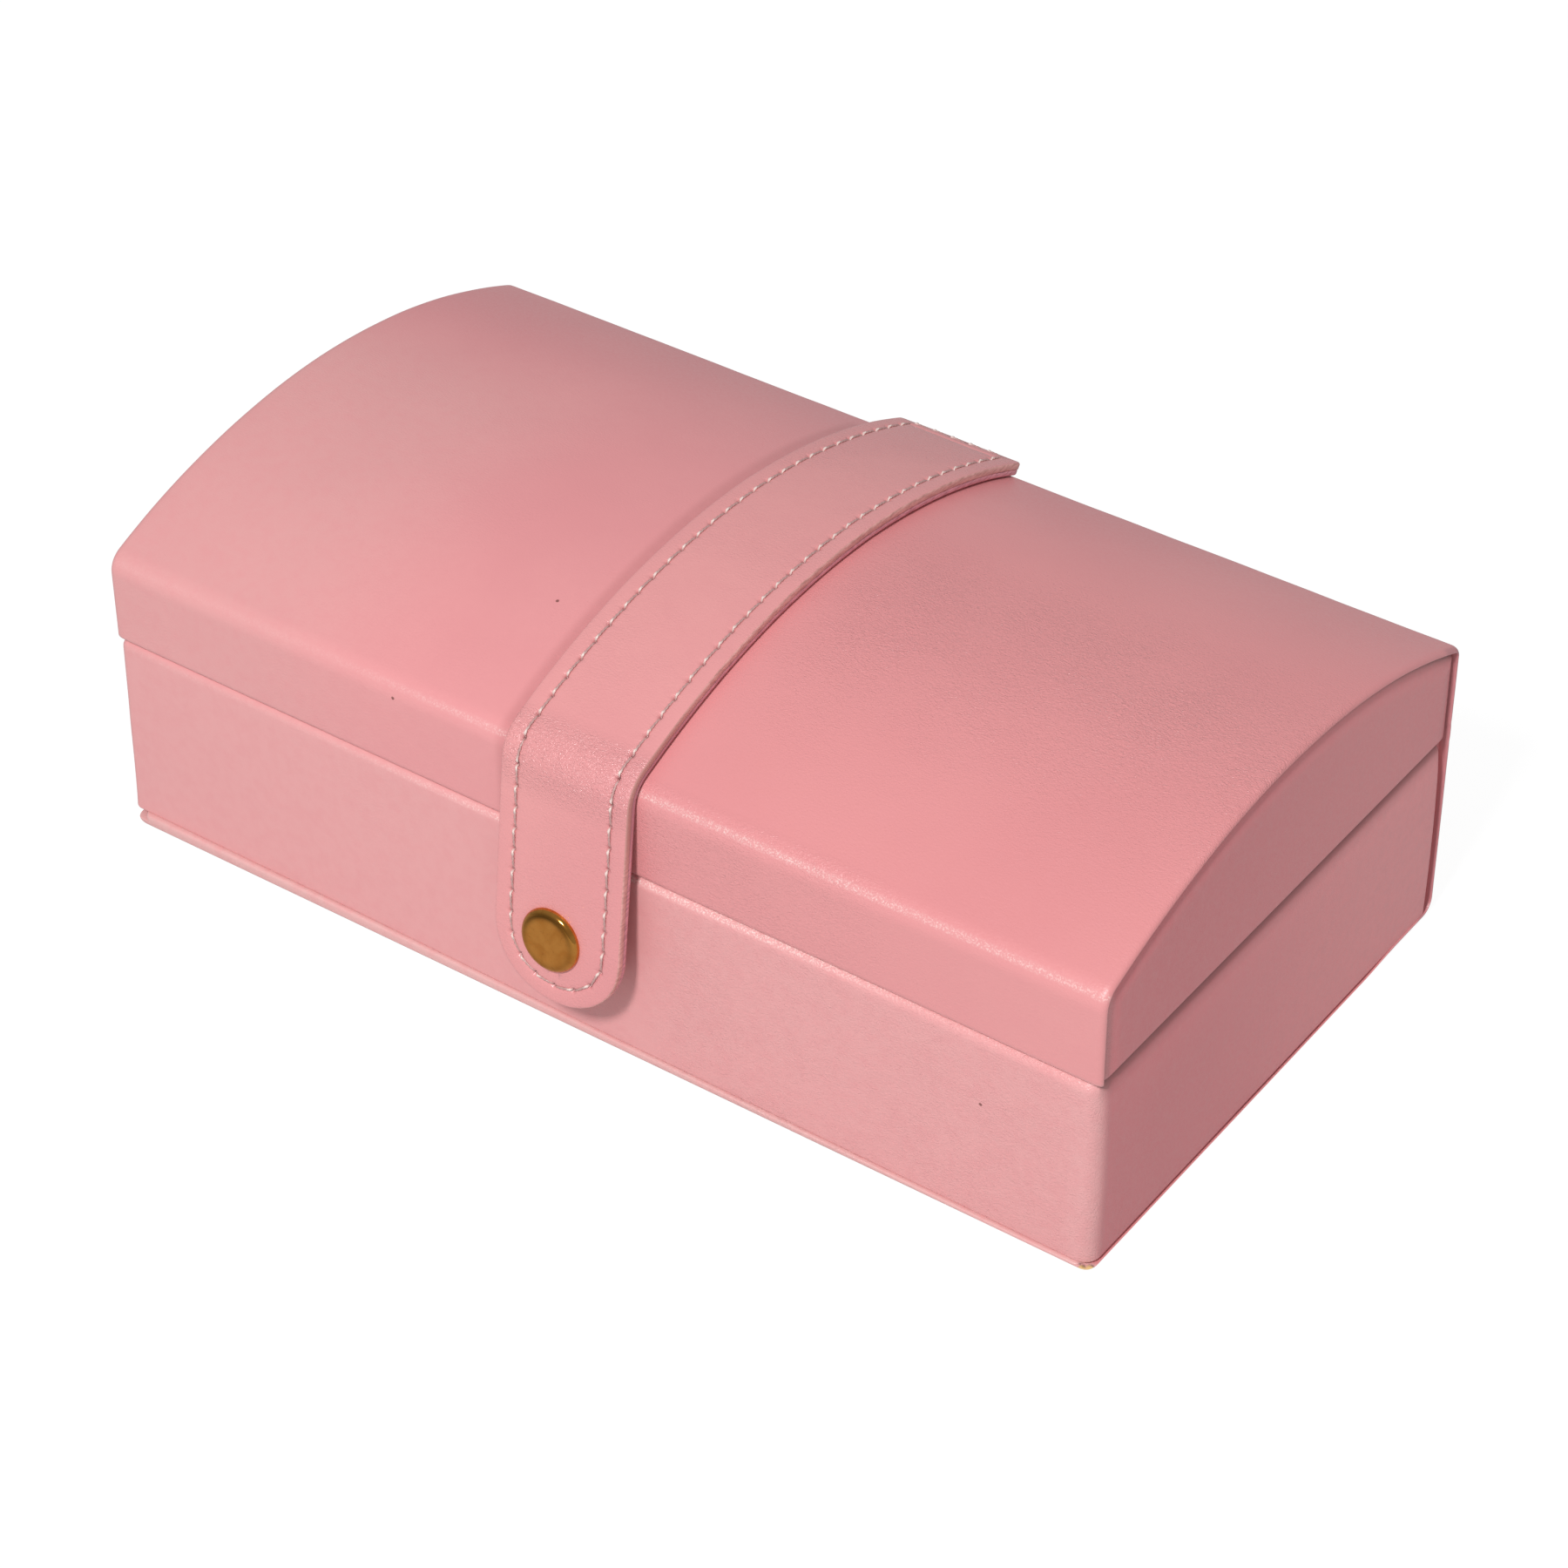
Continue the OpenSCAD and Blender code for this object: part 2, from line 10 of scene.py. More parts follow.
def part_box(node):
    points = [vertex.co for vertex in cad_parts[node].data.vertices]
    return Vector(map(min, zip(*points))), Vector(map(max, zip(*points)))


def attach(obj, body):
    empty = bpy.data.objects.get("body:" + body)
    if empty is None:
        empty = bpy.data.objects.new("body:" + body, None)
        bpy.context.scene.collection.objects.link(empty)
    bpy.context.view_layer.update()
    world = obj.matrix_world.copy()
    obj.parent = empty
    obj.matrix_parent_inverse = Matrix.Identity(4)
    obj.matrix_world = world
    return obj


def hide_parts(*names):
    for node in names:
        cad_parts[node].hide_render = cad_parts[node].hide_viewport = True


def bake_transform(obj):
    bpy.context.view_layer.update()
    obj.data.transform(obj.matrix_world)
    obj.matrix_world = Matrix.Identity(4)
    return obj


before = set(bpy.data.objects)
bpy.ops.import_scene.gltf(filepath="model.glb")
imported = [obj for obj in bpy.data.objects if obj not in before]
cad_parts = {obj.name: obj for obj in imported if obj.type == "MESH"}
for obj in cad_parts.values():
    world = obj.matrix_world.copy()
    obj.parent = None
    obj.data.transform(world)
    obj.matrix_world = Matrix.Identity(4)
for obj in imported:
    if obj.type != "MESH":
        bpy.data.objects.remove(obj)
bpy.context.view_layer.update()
MM = 0.001


def mm_box(*nodes):
    """The lowest and highest corners of CAD nodes at rest, in millimetres."""
    corners = [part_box(n) for n in nodes]
    low = np.min([np.array(c[0]) for c in corners], axis=0) / MM
    high = np.max([np.array(c[1]) for c in corners], axis=0) / MM
    return low, high


# ------------------------------------------------------------ sizes in millimetres
_, cover_high = mm_box("base_cover_skin")
lid_low, lid_high = mm_box("lid_cover_skin")
tray_low, tray_high = mm_box("tray_wall_skin")
panel_low, panel_high = mm_box("lid_end_board_right", "lid_end_skin_right")
rail_low, rail_high = mm_box("lid_rail_front")
back_rail_low, back_rail_high = mm_box("lid_rail_back")
strap_low, strap_high = mm_box("strap_root_face")
tape_low, tape_high = mm_box("hinge_tape_lower", "hinge_tape_upper")

# The cover: half its length and depth, the seam between tray and lid, the arch and the rounded edges.
HALF_L = cover_high[0]
HALF_W = cover_high[1]
BASE_TOP = cover_high[2]
LID_BOTTOM = lid_low[2]
SEAM = (BASE_TOP + LID_BOTTOM) / 2
TOP = lid_high[2]
ARCH_RISE = 12.0
FRONT_EDGE_R = 4.5
BACK_EDGE_R = 2.4
SPINE_R = 3.2
COVER_T = 2.0
# The hinge is the cover's crease: thinner, and dented along both sides.
CREASE_T = 1.5
CREASE_W = 3.0
CREASE_DENT = 0.14
ARCH_R = (HALF_W ** 2 + ARCH_RISE ** 2) / (2 * ARCH_RISE)
ARCH_C = np.array([0.0, TOP - ARCH_R])

# The tray's wall with its rolled rim; its front right corner is the softest.
WALL_T = 3.7
RIM_R = 2.1
TRAY_CORNER_R = 1.7
TRAY_FRONT_RIGHT_R = 3.0
# The lid's end panels: how far they stand inside the cover's outline and beyond the boards.
PANEL_OFFSET = 1.35
PANEL_PROUD = 0.22
# The height above which the lid's panels don't follow the falling seam.
PANEL_FREE = 62.0

# The strap: two layers of leather, a row of stitches and the press stud's brass cap.
STRAP_W = strap_high[0] - strap_low[0]
STRAP_GAP = 0.3
BACK_T = 1.2
FACE_T = 1.3
STITCH_INSET = 3.3
STITCH_PITCH = 4.05
THREAD_R = 0.21
ROOT_INSET = 0.4
TIP_PAST_SNAP = 12.2
SNAP_H = 23.5
SNAP_X = -0.8
CAP_R = 5.8

# How the hand-made case strays from its drawing: the seam falls to the right, and the strap
# sways sideways (places along the strap, and how far to the side).
SEAM_SLOPE = -0.0078
STRAP_SWAY = ((-2.5, 8.0, 45.0, 75.0, 112.0, 160.0), (0.1, -0.25, -0.55, -0.4, -0.12, -0.18))


# ---------------------------------------------------------------------- meshes
def arc(centre, radius, start, end, steps):
    """Points and outward normals on an arc, angles in degrees."""
    angles = np.radians(np.linspace(start, end, steps + 1))
    normals = np.stack([np.cos(angles), np.sin(angles)], 1)
    return np.asarray(centre) + radius * normals, normals


def straight(start, end, normal, steps):
    """Points on a straight stretch, each with the same normal."""
    t = np.linspace(0, 1, steps + 1)[:, None]
    points = np.asarray(start) * (1 - t) + np.asarray(end) * t
    return points, np.tile(normal, (steps + 1, 1)).astype(float)


def joined(*stretches):
    """One path from stretches that meet, without doubling the points where they do."""
    points = [stretches[0][0]] + [s[0][1:] for s in stretches[1:]]
    normals = [stretches[0][1]] + [s[1][1:] for s in stretches[1:]]
    return np.concatenate(points), np.concatenate(normals)


def distances_along(line):
    """How far each point of a line lies from its start, along it."""
    steps = np.linalg.norm(np.diff(line, axis=0), axis=1)
    return np.concatenate([[0], np.cumsum(steps)])


def interpolated(at, along, pairs):
    """Pairs of values that belong to distances along a line, worked out for others."""
    return np.stack([np.interp(at, along, values) for values in pairs.T], 1)


def spaced_at(path, distances):
    """The path sampled again at these distances along it, and its length."""
    points, normals = path
    along = distances_along(points)
    at = np.clip(distances, 0, along[-1])
    turned = interpolated(at, along, normals)
    turned /= np.linalg.norm(turned, axis=1, keepdims=True)
    return interpolated(at, along, points), turned, along[-1]


def wobble(points, size, seed):
    """Smooth unevenness from -1 to 1 with features about this many millimetres long."""
    shift = Vector((seed * 7.3, seed * 3.1, seed * 5.7))
    return np.array([noise.noise(Vector(p) / size + shift) for p in points])


def mesh_piece(name, points, faces, materials, face_slots=None, sharp=40, marks=None):
    """A smooth-shaded object from points in millimetres; doubled points are merged."""
    mesh = bpy.data.meshes.new(name)
    mesh.from_pydata([tuple(p) for p in np.asarray(points, float) * MM], [], faces)
    for material in materials:
        mesh.materials.append(material)
    if face_slots is not None:
        mesh.polygons.foreach_set("material_index", face_slots)
    if marks is not None:
        mesh.attributes.new("mark", "FLOAT", "POINT").data.foreach_set("value", marks)
    work = bmesh.new()
    work.from_mesh(mesh)
    bmesh.ops.remove_doubles(work, verts=work.verts, dist=2e-6)
    bmesh.ops.dissolve_degenerate(work, edges=work.edges, dist=1e-6)
    bmesh.ops.recalc_face_normals(work, faces=work.faces)
    work.to_mesh(mesh)
    work.free()
    mesh.shade_smooth()
    mesh.set_sharp_from_angle(angle=math.radians(sharp))
    piece = bpy.data.objects.new(name, mesh)
    bpy.context.scene.collection.objects.link(piece)
    return piece


def grid_faces(rows, columns, wrap_rows=False, wrap_columns=False, first=0):
    """Quads of a grid of points that is stored row by row."""
    faces = []
    for i in range(rows if wrap_rows else rows - 1):
        below = (i + 1) % rows
        for j in range(columns if wrap_columns else columns - 1):
            beside = (j + 1) % columns
            faces.append((first + i * columns + j, first + i * columns + beside,
                          first + below * columns + beside, first + below * columns + j))
    return faces


def tube_faces(rows, around, first=0):
    """The faces of a closed tube: its sides and a flat cap at each end."""
    last = first + (rows - 1) * around
    return grid_faces(rows, around, wrap_columns=True, first=first) + [
        tuple(end + j for j in range(around)) for end in (first, last)]


def swept(name, loops, materials, sharp=40, marks=None):
    """A tube through closed loops of points, with a flat cap at each end."""
    loops = np.asarray(loops)
    rows, columns = loops.shape[:2]
    faces = tube_faces(rows, columns)
    return mesh_piece(name, loops.reshape(-1, 3), faces, materials, sharp=sharp, marks=marks)


def ringed(name, loops, materials, sharp=40, marks=None):
    """A closed ring through closed loops of points, from the last loop back to the first."""
    loops = np.asarray(loops)
    faces = grid_faces(*loops.shape[:2], wrap_rows=True, wrap_columns=True)
    return mesh_piece(name, loops.reshape(-1, 3), faces, materials, sharp=sharp, marks=marks)


def revolved(name, profile, place, materials, mark):
    """A body of revolution from (radius, height) points, placed by a 4x4 matrix in mm and marked."""
    steps = 72
    turns = np.radians(np.linspace(0, 360, steps, endpoint=False))
    points, marks = [], []
    for radius, height in profile:
        for turn in turns:
            marks.append(mark(radius, turn))
            p = place @ Vector((radius * math.cos(turn), radius * math.sin(turn), height))
            points.append(tuple(p))
    faces = grid_faces(len(profile), steps, wrap_columns=True)
    return mesh_piece(name, points, faces, materials, sharp=50, marks=marks)


# ------------------------------------------------------------------- materials
def node_material(name):
    """A new material, its shader and a helper that adds nodes."""
    material = bpy.data.materials.new(name)
    material.use_nodes = True
    tree = material.node_tree

    def add(kind, inputs=None, **settings):
        node = tree.nodes.new(kind)
        for key, value in settings.items():
            setattr(node, key, value)
        for key, value in (inputs or {}).items():
            give(node.inputs[key], value)
        return node

    return material, tree.nodes["Principled BSDF"], add


def give(socket, value):
    """Links a socket to another node's output, or sets its constant value."""
    if isinstance(value, bpy.types.NodeSocket):
        socket.id_data.links.new(value, socket)
    else:
        socket.default_value = value


def finished(material, shader, add, colour, roughness, bump=None, constants=()):
    """The material with its colour, roughness and bump (height, strength, metres) on its shader."""
    give(shader.inputs["Base Color"], colour)
    give(shader.inputs["Roughness"], roughness)
    if bump:
        relief = add("ShaderNodeBump", dict(zip(("Height", "Strength", "Distance"), bump)))
        give(shader.inputs["Normal"], relief.outputs[0])
    for socket, value in constants:
        shader.inputs[socket].default_value = value
    return material


def millimetres(add):
    """The place on the piece, in millimetres."""
    place = add("ShaderNodeTexCoord").outputs["Object"]
    return add("ShaderNodeVectorMath", {0: place, 3: 1 / MM}, operation="SCALE").outputs[0]


def stretched(add, place, scale):
    """The place with its axes scaled, so that a texture runs longer along one of them."""
    return add("ShaderNodeVectorMath", {0: place, 1: scale}, operation="MULTIPLY").outputs[0]


def parted(add, place):
    """The x, y and z of a place."""
    return add("ShaderNodeSeparateXYZ", {0: place}).outputs


def marked(add):
    """The mesh's own mark, which paints light into a point: shade in holes and grooves, a dark reflection
    on the cap, glints on the thread.
    """
    return add("ShaderNodeAttribute", attribute_name="mark").outputs["Fac"]


def mixed(add, a, b, share):
    """Colour a with a share of colour b."""
    a, b = (c if isinstance(c, bpy.types.NodeSocket) else (*c, 1) for c in (a, b))
    return add("ShaderNodeMix", {0: share, 6: a, 7: b}, data_type="RGBA").outputs[2]


def ramp(add, value, low, high, out_low=0.0, out_high=1.0):
    """A value mapped smoothly from one range to another."""
    return add("ShaderNodeMapRange", {0: value, 1: low, 2: high, 3: out_low, 4: out_high},
               interpolation_type="SMOOTHSTEP").outputs[0]


def worked(add, operation, *values):
    """The result of one math node."""
    return add("ShaderNodeMath", dict(enumerate(values)), operation=operation).outputs[0]


def product(add, *values):
    """Several values multiplied."""
    result = values[0]
    for value in values[1:]:
        result = worked(add, "MULTIPLY", result, value)
    return result


def zone(add, at, *masks, **spans):
    """Masks times one ramp along each named axis of a parted place."""
    return product(add, *masks, *(ramp(add, at[axis], *span) for axis, span in spans.items()))


def textured(add, place, scale, detail=2.0, rough=0.5, distortion=0.0):
    """Noise with this many waves to the millimetre."""
    return add("ShaderNodeTexNoise", {"Vector": place, "Scale": scale, "Detail": detail,
               "Roughness": rough, "Distortion": distortion}).outputs[0]


def specks(add, place, spots, radius):
    """1 inside small spots at these points, in millimetres, and 0 elsewhere."""
    found = None
    for spot in spots:
        away = add("ShaderNodeVectorMath", {0: place, 1: spot}, operation="DISTANCE").outputs["Value"]
        inside = ramp(add, away, radius * 0.5, radius, 1.0, 0.0)
        found = inside if found is None else worked(add, "MAXIMUM", found, inside)
    return found


def wall_tone_and_painted_light(add, place, tone):
    """The tray wall and the lid's ends: a painted sheen pales the front, a painted highlight the right
    front corner, and painted light gives the ends a fuller colour that brightens toward the back and is
    darker on the lid's panels.
    """
    at = parted(add, place)
    front = zone(add, at, Y=(-54.2, -50.5, 1.0, 0.0))
    # Painted sheen on the tray's front.
    tone = mixed(add, tone, FRONT_PAINTED_SHEEN, zone(add, at, front, Z=(38.3, 39.3, 1.0, 0.0)))
    # Painted highlight toward the right front corner.
    tone = mixed(add, tone, (0.82, 0.42, 0.42), zone(add, at, front, X=(93.0, 97.5, 0.0, 0.5)))
    # Painted light on the ends: fuller, brightening toward the back, darker from the seam up on the lid's
    # panels.
    full = mixed(add, (0.78, 0.232, 0.254), (0.94, 0.335, 0.350), zone(add, at, Y=(-42.0, 40.0)))
    full = mixed(add, full, (0.72, 0.20, 0.22), zone(add, at, Z=(38.4, 38.9, 0.0, 0.4)))
    ends = ramp(add, worked(add, "ABSOLUTE", at["X"]), 99.0, 99.6)
    return mixed(add, tone, full, zone(add, at, ends, Y=(-54.0, -51.0)))


def cover_tone_and_painted_light(add, place, tone):
    """The cover: a painted sheen pales the front and a painted highlight the bottom lip's edge; paler to
    the left, fuller to the right, darker at the spine's right end, with a painted shadow beside the
    strap.
    """
    at = parted(add, place)
    left = zone(add, at, X=(-75.0, -35.0, 0.4, 0.0), Y=(0.0, 30.0, 1.0, 0.0))
    right = zone(add, at, X=(-5.0, 30.0, 0.0, 0.35), Y=(10.0, 45.0, 1.0, 0.2))
    front = zone(add, at, Y=(-54.7, -53.6, 1.0, 0.0), Z=(38.3, 39.3, 1.0, 0.3))
    # Painted highlight on the bottom lip's front edge.
    lip_edge = zone(add, at, Z=(2.2, 2.8, 1.0, 0.0), Y=(-54.0, -53.0, 1.0, 0.0))
    spine_end = zone(add, at, X=(98.8, 99.6, 0.0, 0.8), Y=(49.0, 51.0))
    # Painted shadow: a darker band on the lid just left of the strap.
    beside = worked(add, "MULTIPLY_ADD", at["Y"], 0.03, at["X"])
    painted_strap_shadow = zone(add, at, ramp(add, beside, -18.6, -16.4), X=(-12.6, -11.6, 0.42, 0.0),
                  Z=(30.0, 40.0), Y=(48.0, 52.0, 1.0, 0.0))
    # Tints of the cover; those of the front, the lip and the band beside the strap are painted light.
    for tint, share in (((0.72, 0.42, 0.40), left), ((0.72, 0.25, 0.25), right), (FRONT_PAINTED_SHEEN, front),
                       ((0.76, 0.44, 0.43), lip_edge), ((0.57, 0.235, 0.255), spine_end),
                       ((0.50, 0.175, 0.18), painted_strap_shadow)):
        tone = mixed(add, tone, tint, share)
    return tone


def standing_grain(add, place, case):
    """Where the hide's grain stands out: right of the strap, most of all on top of the arch."""
    at = parted(add, place)
    if not case:
        return product(add, zone(add, at, Y=(-50.0, -53.0, 0.0, 1.0), Z=(48.0, 53.0)), 0.9)
    uneven = ramp(add, textured(add, place, 0.07, 3.0, 0.6), 0.35, 0.65, 0.75, 1.0)
    if case == "wall":
        return zone(add, at, uneven, X=(8.0, 22.0, 0.0, 0.5), Y=(-54.0, -51.0, 1.0, 0.0))
    top = zone(add, at, X=(8.0, 25.0, 0.06, 1.0), Y=(-50.0, 0.0, 0.12, 1.0))
    top = zone(add, at, top, Y=(0.0, 30.0, 1.0, 0.0))
    front = zone(add, at, zone(add, at, X=(8.0, 16.0, 0.1, 0.6)), X=(40.0, 75.0, 1.0, 0.2),
                 Y=(-53.5, -51.0, 1.0, 0.0))
    return product(add, uneven, worked(add, "MAXIMUM", top, front))


def painted_grain_glints(add, place, wall):
    """Painted highlight: pale glints on the grain along the lid's front bend or the tray's rim."""
    at = parted(add, place)
    bend_at, rim_at = 55.5, BASE_TOP - 1.0
    middle, to_right, tallest, strength = (rim_at, 0.2, 0.85, 0.85) if wall else (bend_at, 0.9, 1.0, 0.50)
    above = zone(add, at, Z=(middle - 0.8, middle - 0.1))
    band = zone(add, at, above, Z=(middle + 0.1, middle + 0.9, 1.0, 0.0), Y=(-53.8, -53.2, 1.0, 0.0))
    length = zone(add, at, zone(add, at, X=(-60.0, 12.0, 0.15, 1.0)), X=(40.0, 75.0, 1.0, to_right))
    tips = ramp(add, textured(add, place, 3.6, 2.0, 0.5), 0.47, 0.66, 0.1, tallest)
    return product(add, band, length, tips, strength)


def leather(name, colour, shade, roughness=0.34, grain=1.0, shine=0.5, case=None):
    """Grained leather with fine pebbles, faint creases and an uneven dye; case is "wall" or "cover",
    whose colours also carry painted light.
    """
    material, shader, add = node_material(name)
    place = millimetres(add)
    tone = mixed(add, colour, shade, ramp(add, textured(add, place, 0.022, 3.0), 0.3, 0.7))
    if case:
        tone = (wall_tone_and_painted_light if case == "wall" else cover_tone_and_painted_light)(add, place, tone)
    tone = mixed(add, tone, shade, ramp(add, textured(add, place, 0.5, 4.0, 0.6), 0.35, 0.75, 0.0, 0.3))
    if case:
        # Painted highlight: sparkling grain along the lid's front bend and the tray's rim.
        tone = mixed(add, tone, (0.98, 0.80, 0.76), painted_grain_glints(add, place, case == "wall"))
        tone = mixed(add, tone, (0.25, 0.09, 0.08), specks(add, place, CASE_SPOTS, 0.40))
    if case == "cover":
        wander = add("ShaderNodeTexNoise", {"Vector": place, "Scale": 0.9, "Detail": 2.0}).outputs[1]
        ragged = add("ShaderNodeVectorMath", {0: place, 1: wander}, operation="ADD").outputs[0]
        tone = mixed(add, tone, (0.10, 0.05, 0.05), specks(add, ragged, CHIP_SHADE, 1.0))
        tone = mixed(add, tone, (0.80, 0.55, 0.24), specks(add, ragged, CHIP, 1.1))
    # Painted shade where the mesh's mark says: needle holes, the end panels' groove, the tray's rim under
    # the lid's right end.
    tone = mixed(add, tone, (0.14, 0.055, 0.05), marked(add))

    smooth = 0.45 if case else 1.0
    patchy = ramp(add, textured(add, place, 0.035, 3.0, 0.6), 0.38, 0.62, 0.3 * smooth, smooth)
    drawn = stretched(add, place, (0.55, 1.0, 1.0))
    creases = product(add, textured(add, drawn, 3.0, 3.0, 0.65, 0.4), 1.3)
    pebbles = add("ShaderNodeTexVoronoi", {"Vector": drawn, "Scale": 3.4, "Randomness": 1.0})
    height = worked(add, "MULTIPLY_ADD", pebbles.outputs["Distance"], 0.45, creases)
    standing = standing_grain(add, place, case)
    swell = worked(add, "MULTIPLY_ADD", standing, 0.6, patchy)
    wrinkles = product(add, textured(add, drawn, 2.6, 1.0, 0.5, 1.5), standing, 3.2)
    height = worked(add, "MULTIPLY_ADD", height, swell, wrinkles)
    gloss = ramp(add, textured(add, place, 1.6, 3.0), 0.3, 0.7, roughness - 0.06, roughness + 0.08)
    gloss = worked(add, "MULTIPLY_ADD", standing, -0.05, gloss)
    return finished(material, shader, add, tone, gloss, (height, min(0.75 * grain, 1.0), 0.00011), (
        ("Specular IOR Level", shine), ("Sheen Weight", 0.05), ("Sheen Roughness", 0.4)))


def edge_paint(name, colour, shade):
    """The painted, slightly glossy cut edge of the strap, worn where the flap bends."""
    material, shader, add = node_material(name)
    place = millimetres(add)
    streaks = stretched(add, place, (0.6, 0.6, 3.0))
    high = product(add, zone(add, parted(add, place), Z=(38.0, 50.0), Y=(-30.0, -48.0, 0.0, 1.0)), 0.75)
    worn = worked(add, "MAXIMUM", ramp(add, textured(add, streaks, 0.8, 4.0, 0.65), 0.35, 0.72), high)
    gloss = ramp(add, textured(add, place, 2.0, 2.0), 0.3, 0.7, 0.38, 0.55)
    return finished(material, shader, add, mixed(add, colour, shade, worn), gloss,
                    (textured(add, streaks, 3.0, 3.0), 0.4, 0.00008))


def velvet(name, colour, shade):
    """Short-pile velvet with brushed patches."""
    material, shader, add = node_material(name)
    place = millimetres(add)
    brushed = ramp(add, textured(add, place, 0.035, 2.0, 0.5, 0.3), 0.3, 0.7, 0.0, 0.55)
    pile = textured(add, place, 6.0, 3.0, 0.7)
    tone = mixed(add, colour, shade, brushed)
    tone = mixed(add, tone, shade, ramp(add, pile, 0.3, 0.8, 0.0, 0.5))
    gloss = ramp(add, pile, 0.2, 0.8, 0.8, 0.98)
    return finished(material, shader, add, tone, gloss, (pile, 0.6, 0.00015), (
        ("Sheen Weight", 0.7), ("Sheen Roughness", 0.35), ("Specular IOR Level", 0.2)))


def woven(name, colour, shade):
    """Plain-woven tape."""
    material, shader, add = node_material(name)
    threads = {"Vector": millimetres(add), "Scale": 0.9, "Distortion": 0.3}
    warp, weft = (add("ShaderNodeTexWave", threads, bands_direction=d).outputs["Fac"] for d in ("X", "Z"))
    weave = product(add, warp, weft)
    return finished(material, shader, add, mixed(add, shade, colour, weave), 0.85, (weave, 0.7, 0.0001))


def thread():
    """Twisted polyester thread with a soft shine."""
    material, shader, add = node_material("thread")
    fibres = textured(add, millimetres(add), 7.0, 3.0, 0.6)
    dull = mixed(add, (0.60, 0.36, 0.34), (0.42, 0.23, 0.22), ramp(add, fibres, 0.35, 0.7))
    # Painted highlight: the mark pales the thread to cream where it catches the lamp.
    tone = mixed(add, dull, (0.98, 0.84, 0.78), marked(add))
    return finished(material, shader, add, tone, ramp(add, fibres, 0.3, 0.7, 0.24, 0.45),
                    (fibres, 0.5, 0.00006), (("Specular IOR Level", 0.7),))


def brass(name, tarnish_and_painted_reflection=1.0):
    """Lacquered brass, clouded by handling."""
    material, shader, add = node_material(name)
    place = millimetres(add)
    clouds = ramp(add, textured(add, place, 0.28, 4.0, 0.55, 0.6), 0.38, 0.68, 0.0, 0.75 * tarnish_and_painted_reflection)
    tone = mixed(add, (0.62, 0.28, 0.06), (0.50, 0.20, 0.035), clouds)
    smears = ramp(add, textured(add, place, 0.9, 5.0, 0.65, 0.4), 0.56, 0.72, 0.0, 0.5 * tarnish_and_painted_reflection)
    tone = mixed(add, tone, (0.30, 0.11, 0.025), smears)
    # The mark paints a dark reflection into the cap's rolled rim.
    tone = mixed(add, tone, (0.10, 0.045, 0.008), marked(add))
    gloss = ramp(add, textured(add, place, 0.7, 4.0, 0.6), 0.3, 0.7, 0.08, 0.17)
    return finished(material, shader, add, tone, gloss, (textured(add, place, 0.8, 3.0), 0.15, 0.0001),
                    (("Metallic", 1.0),))


def greyboard():
    """Pressed grey board with flecks."""
    material, shader, add = node_material("greyboard")
    flecks = ramp(add, textured(add, millimetres(add), 2.5, 4.0, 0.7), 0.4, 0.7)
    tone = mixed(add, (0.47, 0.42, 0.33), (0.33, 0.28, 0.21), flecks)
    return finished(material, shader, add, tone, 0.9, (flecks, 0.3, 0.0001))


def silvered():
    """Mirror glass, with the faintest smears."""
    material, shader, add = node_material("mirror_glass")
    smears = textured(add, millimetres(add), 0.08, 4.0, 0.6, 1.0)
    tone = mixed(add, (0.9, 0.92, 0.92), (0.8, 0.84, 0.84), smears)
    return finished(material, shader, add, tone, ramp(add, smears, 0.4, 0.8, 0.015, 0.07),
                    constants=(("Metallic", 1.0),))


PINK = (0.80, 0.325, 0.335)
PINK_SHADE = (0.76, 0.295, 0.31)
# Painted sheen: a paler colour on the front faces, standing in for the glossy veil the bright table
# leaves on them.
FRONT_PAINTED_SHEEN = (0.80, 0.378, 0.380)
STRAP_PINK = (0.80, 0.335, 0.335)
STRAP_SHADE = (0.75, 0.295, 0.305)
# Dark specks on the leather, and the worn chip at the bottom corner, in millimetres.
CASE_SPOTS = [(-71.5, -55.2, 33.5), (-68.6, -55.2, 32.9), (78.5, -55.2, 24.2), (-37.6, -55.2, 53.4),
              (-22.5, -30.1, 64.6)]
CHIP = [(99.1, -55.0, 0.45), (100.0, -54.2, 0.5)]
CHIP_SHADE = [(98.9, -54.6, 1.5), (99.8, -53.7, 1.6)]

cover_leather = leather("cover_leather", PINK, PINK_SHADE, case="cover")
case_leather = leather("case_leather", PINK, PINK_SHADE, case="wall")
strap_leather = leather("strap_leather", STRAP_PINK, STRAP_SHADE, roughness=0.31, shine=0.75)
back_leather = leather("strap_back_leather", (0.66, 0.31, 0.32), (0.58, 0.26, 0.27), 0.6, grain=1.2)
painted_edge = edge_paint("strap_edge_paint", (0.82, 0.43, 0.40), (0.52, 0.25, 0.22))
# The back layer's edge paint; its lilac tint partly paints the cool reflection of the glossy edge.
back_edge = edge_paint("strap_back_edge_paint", (0.84, 0.38, 0.44), (0.50, 0.20, 0.24))
rose_velvet = velvet("rose_velvet", (0.78, 0.46, 0.45), (0.62, 0.31, 0.31))
tape_cloth = woven("hinge_cloth", (0.66, 0.33, 0.34), (0.5, 0.22, 0.23))
sewing_thread = thread()
cap_brass = brass("cap_brass")
clean_brass = brass("stud_brass", 0.4)
grey_board = greyboard()
mirror_glass = silvered()


# ------------------------------------------------------------- the case's cover
def lid_bend(offset, radius, side):
    """Centre of the arc that rounds the lid's edge at the back (+1) or the front (-1), and the
    angle in degrees where it meets the arch."""
    y = side * (HALF_W - offset - radius)
    rise = math.sqrt((ARCH_R - offset - radius) ** 2 - y * y)
    return np.array([y, ARCH_C[1] + rise]), math.degrees(math.atan2(rise, y))


